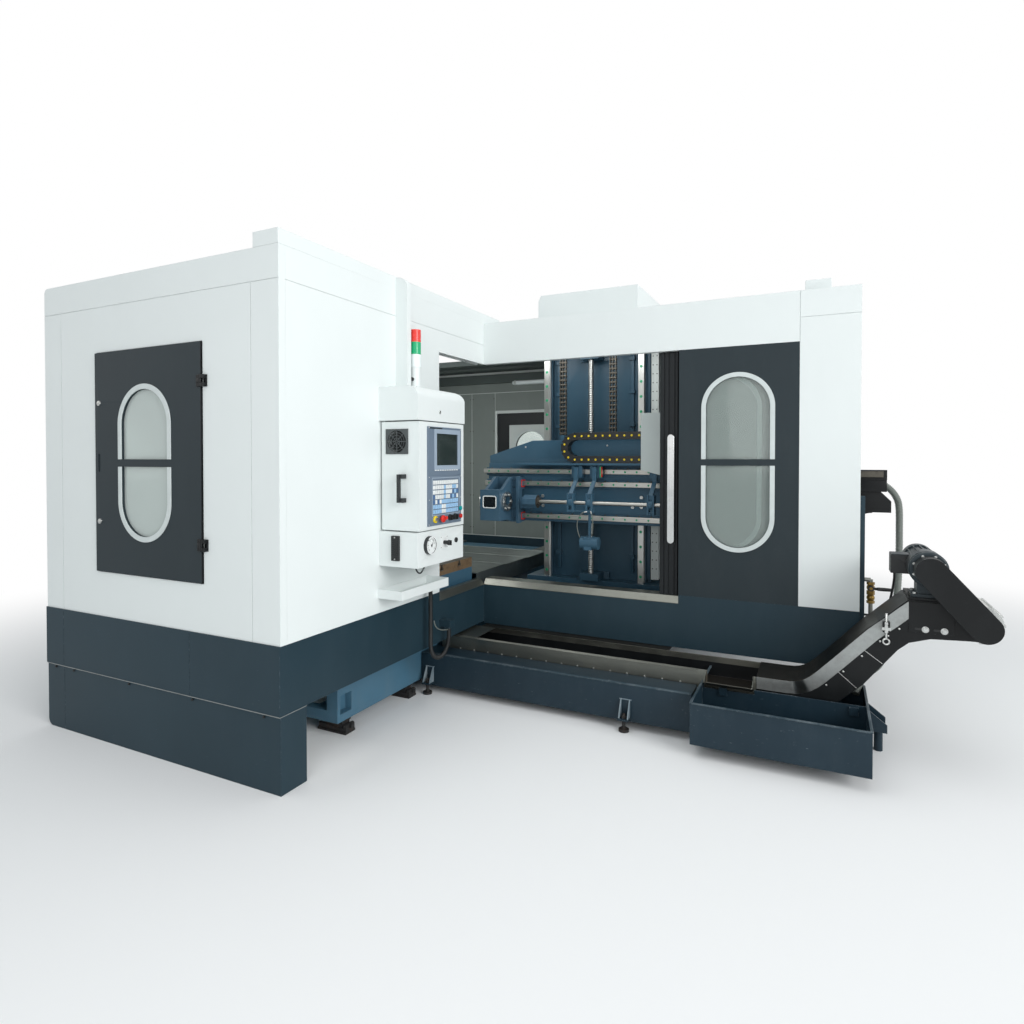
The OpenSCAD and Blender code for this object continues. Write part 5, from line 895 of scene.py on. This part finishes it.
makePiece("chainTensioner", ["zincPlate"], "machine", "rail_steel", 0.8,
    (addBox, (2366, 2404), (-357, -330), (650, 664)),
    *((addTurned, (tensioner["x"], tensioner["y"], z), (0, 0, 1), profile, sides) for z, profile, sides in (
        (664, [(13, 0), (13, 9), (11, 10), (11, 12), (13, 13), (13, 24), (12, 25)], 6),
        (638, [(12, 0), (13, 1), (13, 11), (12, 12)], 6),
        (606, [(5.2, 0), (5.2, 122), (4.2, 124)], 16))), (addEye,))
takeNode("gearmotor", "gearMotor", "machine", [
    ("blackNylon", lambda p, n: p.x < 2500 and p.z < 996 and p.x > 2417)], "motorEnamel", 1.5)
motorX, motorZ = 2558, 950
makePiece("motorTrim", ["motorEnamel"], "machine", "cover_paint", 3,
    (addTurned, (motorX, -322, motorZ), (0, 1, 0), [
        (60, -8), (76, -8), (82, -2), (82, 10), (74, 16), (74, 26), (82, 32), (82, 44), (70, 52)], 48),
    (addBox, (2424, 2500), (-136, -44), (902, 984)), (addBox, (2420, 2504), (-140, -40), (984, 992)))
scatter("motorScrews", "machine", "zincPlate", "hexBolt",
        [(motorX + 66 * cos(a), -330.5, motorZ + 66 * sin(a)) for a in spaced(pi / 8, pi / 4, 8)],
        size=0.55)
scatter("motorFootBolts", "machine", "zincPlate", "hexBolt",
        [(x, y, 828) for x in (2504, 2612) for y in (-296, -196)], turn=facingUp)
takeNode("valve_pipe", "valvePipe", "machine", [
    ("castBrass", lambda p, n: min(abs(p.z - 770), abs(p.z - 715)) < 30.5 and p.x > 2315)], "zincPipe", 1)
makePiece("leverGrip", ["blackNylon"], "lever", "black_plastic", 0,
    (addTurned, (2372, 66, 770), (1, 0, 0), [(7, 0), (9.5, 3), (10, 30), (9, 62), (7.5, 68), (4, 71)], 20))

# trough and tanks
takeNode("conveyor_trough", "chipTrough", "machine", [
    ("oxidisedIron", lambda p, n: 1549 < p.x < 1784.5 and p.y < -331 and n.z > 0.3),
    ("oiledSheet", lambda p, n: p.z < 224 and n.z > 0.5 or p.y > -74 and p.z > 330.5),
    ("blackEnamel", lambda p, n: abs(n.y) > 0.9 and p.z < 296 and -329 < p.y < -61)],
    "stainlessSheet", 0.6, [("Z", 296)])
makePiece("troughLip", ["stainlessSheet"], "machine", "stainless", 0,
    (addPlate, [(-329.8, 332), (-329.8, 329.9), (-345, 323), (-346, 325)], "X", (-120, 1500)))
gusset = dict(x=(-113, 1149), y=-500, foot=70, height=96)


def addGusset(shape, x):
    y, low, high = gusset["y"], gusset["foot"], gusset["foot"] + gusset["height"]
    for cheek in (x - 24, x + 24):
        addPlate(shape, [(y + 0.4, low), (y + 0.4, high), (y - 6, high), (y - 48, low + 6), (y - 48, low)],
                 "X", (cheek - 3, cheek + 3), 1)
    addBox(shape, (x - 34, x + 34), (y - 3, y + 0.4), (160, 166), 1)


makePiece("tankGussets", ["tankEnamel", "scrapedEnamel"], "machine", "tank_paint", 1,
    *((addGusset, x) for x in gusset["x"]))
makePiece("tankRims", ["tankEnamelWorn"], "machine", "tank_paint", 1.2,
    (addPlate, [(-499.4, 244), (-487, 249), (-484, 249), (-484, 246.8), (-487, 246.6), (-498, 241)],
     "X", (-170, 1496)),
    *((addBox, xs, ys, (268, 274.5)) for xs, ys in (
        ((1524, 1536), (-688, -42)), ((2303, 2315), (-688, -42)), ((1536, 2303), (-693, -681)))))
print("conveyor and tanks made")
for headShape in headShapes.values():
    bpy.data.objects.remove(headShape)

# floor, lamps and sky
skyStrength = 0.56
floorSpec = dict(size=80, z=-0.0005, colour="#F2F3F3", fadeFrom=3.2, fadeTo=6.5)


def makeFloor():
    bpy.ops.mesh.primitive_plane_add(size=floorSpec["size"], location=(0, 0, floorSpec["z"]))
    floor = bpy.context.object
    floor.name = "floor"
    material, add, place = startMaterial("paleFloor")
    matt = add("BsdfDiffuse", {"Color": linear(floorSpec["colour"])})
    white = add("Emission", {"Color": (1, 1, 1, 1), "Strength": 1.0})
    distance = add("VectorMath", [place], operation="LENGTH")
    far = add("MapRange", [distance, floorSpec["fadeFrom"], floorSpec["fadeTo"], 0.0, 1.0],
              interpolation_type="SMOOTHSTEP")
    seen = add("LightPath").outputs["Is Camera Ray"]
    share = add("Math", [seen, far], operation="MULTIPLY")
    add("OutputMaterial", [add("MixShader", [share, matt, white])])
    floor.data.materials.append(material)


def makeSky(strength):  # soft light on the machine, plain white where the sky is seen
    world = bpy.data.worlds.new("studio")
    bpy.context.scene.world = world
    world.use_nodes = True
    world.node_tree.nodes.clear()
    add = functools.partial(addNode, world.node_tree)
    rays = add("LightPath").outputs
    seen = add("Math", [rays["Is Camera Ray"], rays["Is Transmission Ray"]], operation="MAXIMUM")
    shown = add("Math", [seen, rays["Is Glossy Ray"]], operation="MAXIMUM")
    soft = add("Background", {"Color": (0.93, 0.97, 1.0, 1), "Strength": strength})
    plain = add("Background", {"Color": (1, 1, 1, 1), "Strength": 1.0})
    add("OutputWorld", [add("MixShader", [shown, soft, plain])])


lampSpecs = dict(  # in metres, power in watts
    rightFront=dict(place=(9.5, -4.6, 4.6), aim=(0.0, -0.3, 1.2), size=(6, 4.5), power=640),
    overhead=dict(place=(0.2, -1.5, 7.5), aim=(0, 0.2, 0.5), size=(7, 6), power=95),
    leftFront=dict(place=(-5.5, -8.0, 3.5), aim=(-0.6, 0, 1.2), size=(5, 4), power=22),
    insideHelp=dict(place=(1.2, -5.0, 1.9), aim=(0.1, 0.4, 1.2), size=(1.6, 1.2), power=20),
    drillCabin=dict(place=(0.0, 0.02, 2.25), aim=(0.05, 0.45, 1.2), size=(1.2, 0.16), power=5),
    workCabin=dict(place=(-1.7, 0.5, 2.0), aim=(-1.9, 1.9, 1.0), size=(0.6, 0.6), power=3.5),
    doorCabin=dict(place=(-1.4, -1.2, 2.0), aim=(-2.25, -0.7, 1.1), size=(0.8, 0.8), power=16))


def makeLamps():
    for name, spec in lampSpecs.items():
        data = bpy.data.lights.new(name, "AREA")
        data.shape = "RECTANGLE"
        data.size, data.size_y = spec["size"]
        data.energy = spec["power"]
        lamp = addObject(name, data)
        lamp.location = spec["place"]
        lamp.rotation_euler = (Vector(spec["aim"]) - lamp.location).to_track_quat("-Z", "Y").to_euler()
        lamp.visible_camera = False


makeFloor()
makeSky(skyStrength)
makeLamps()
bpy.context.scene.view_settings.view_transform = "Standard"
print("floor and lamps made")
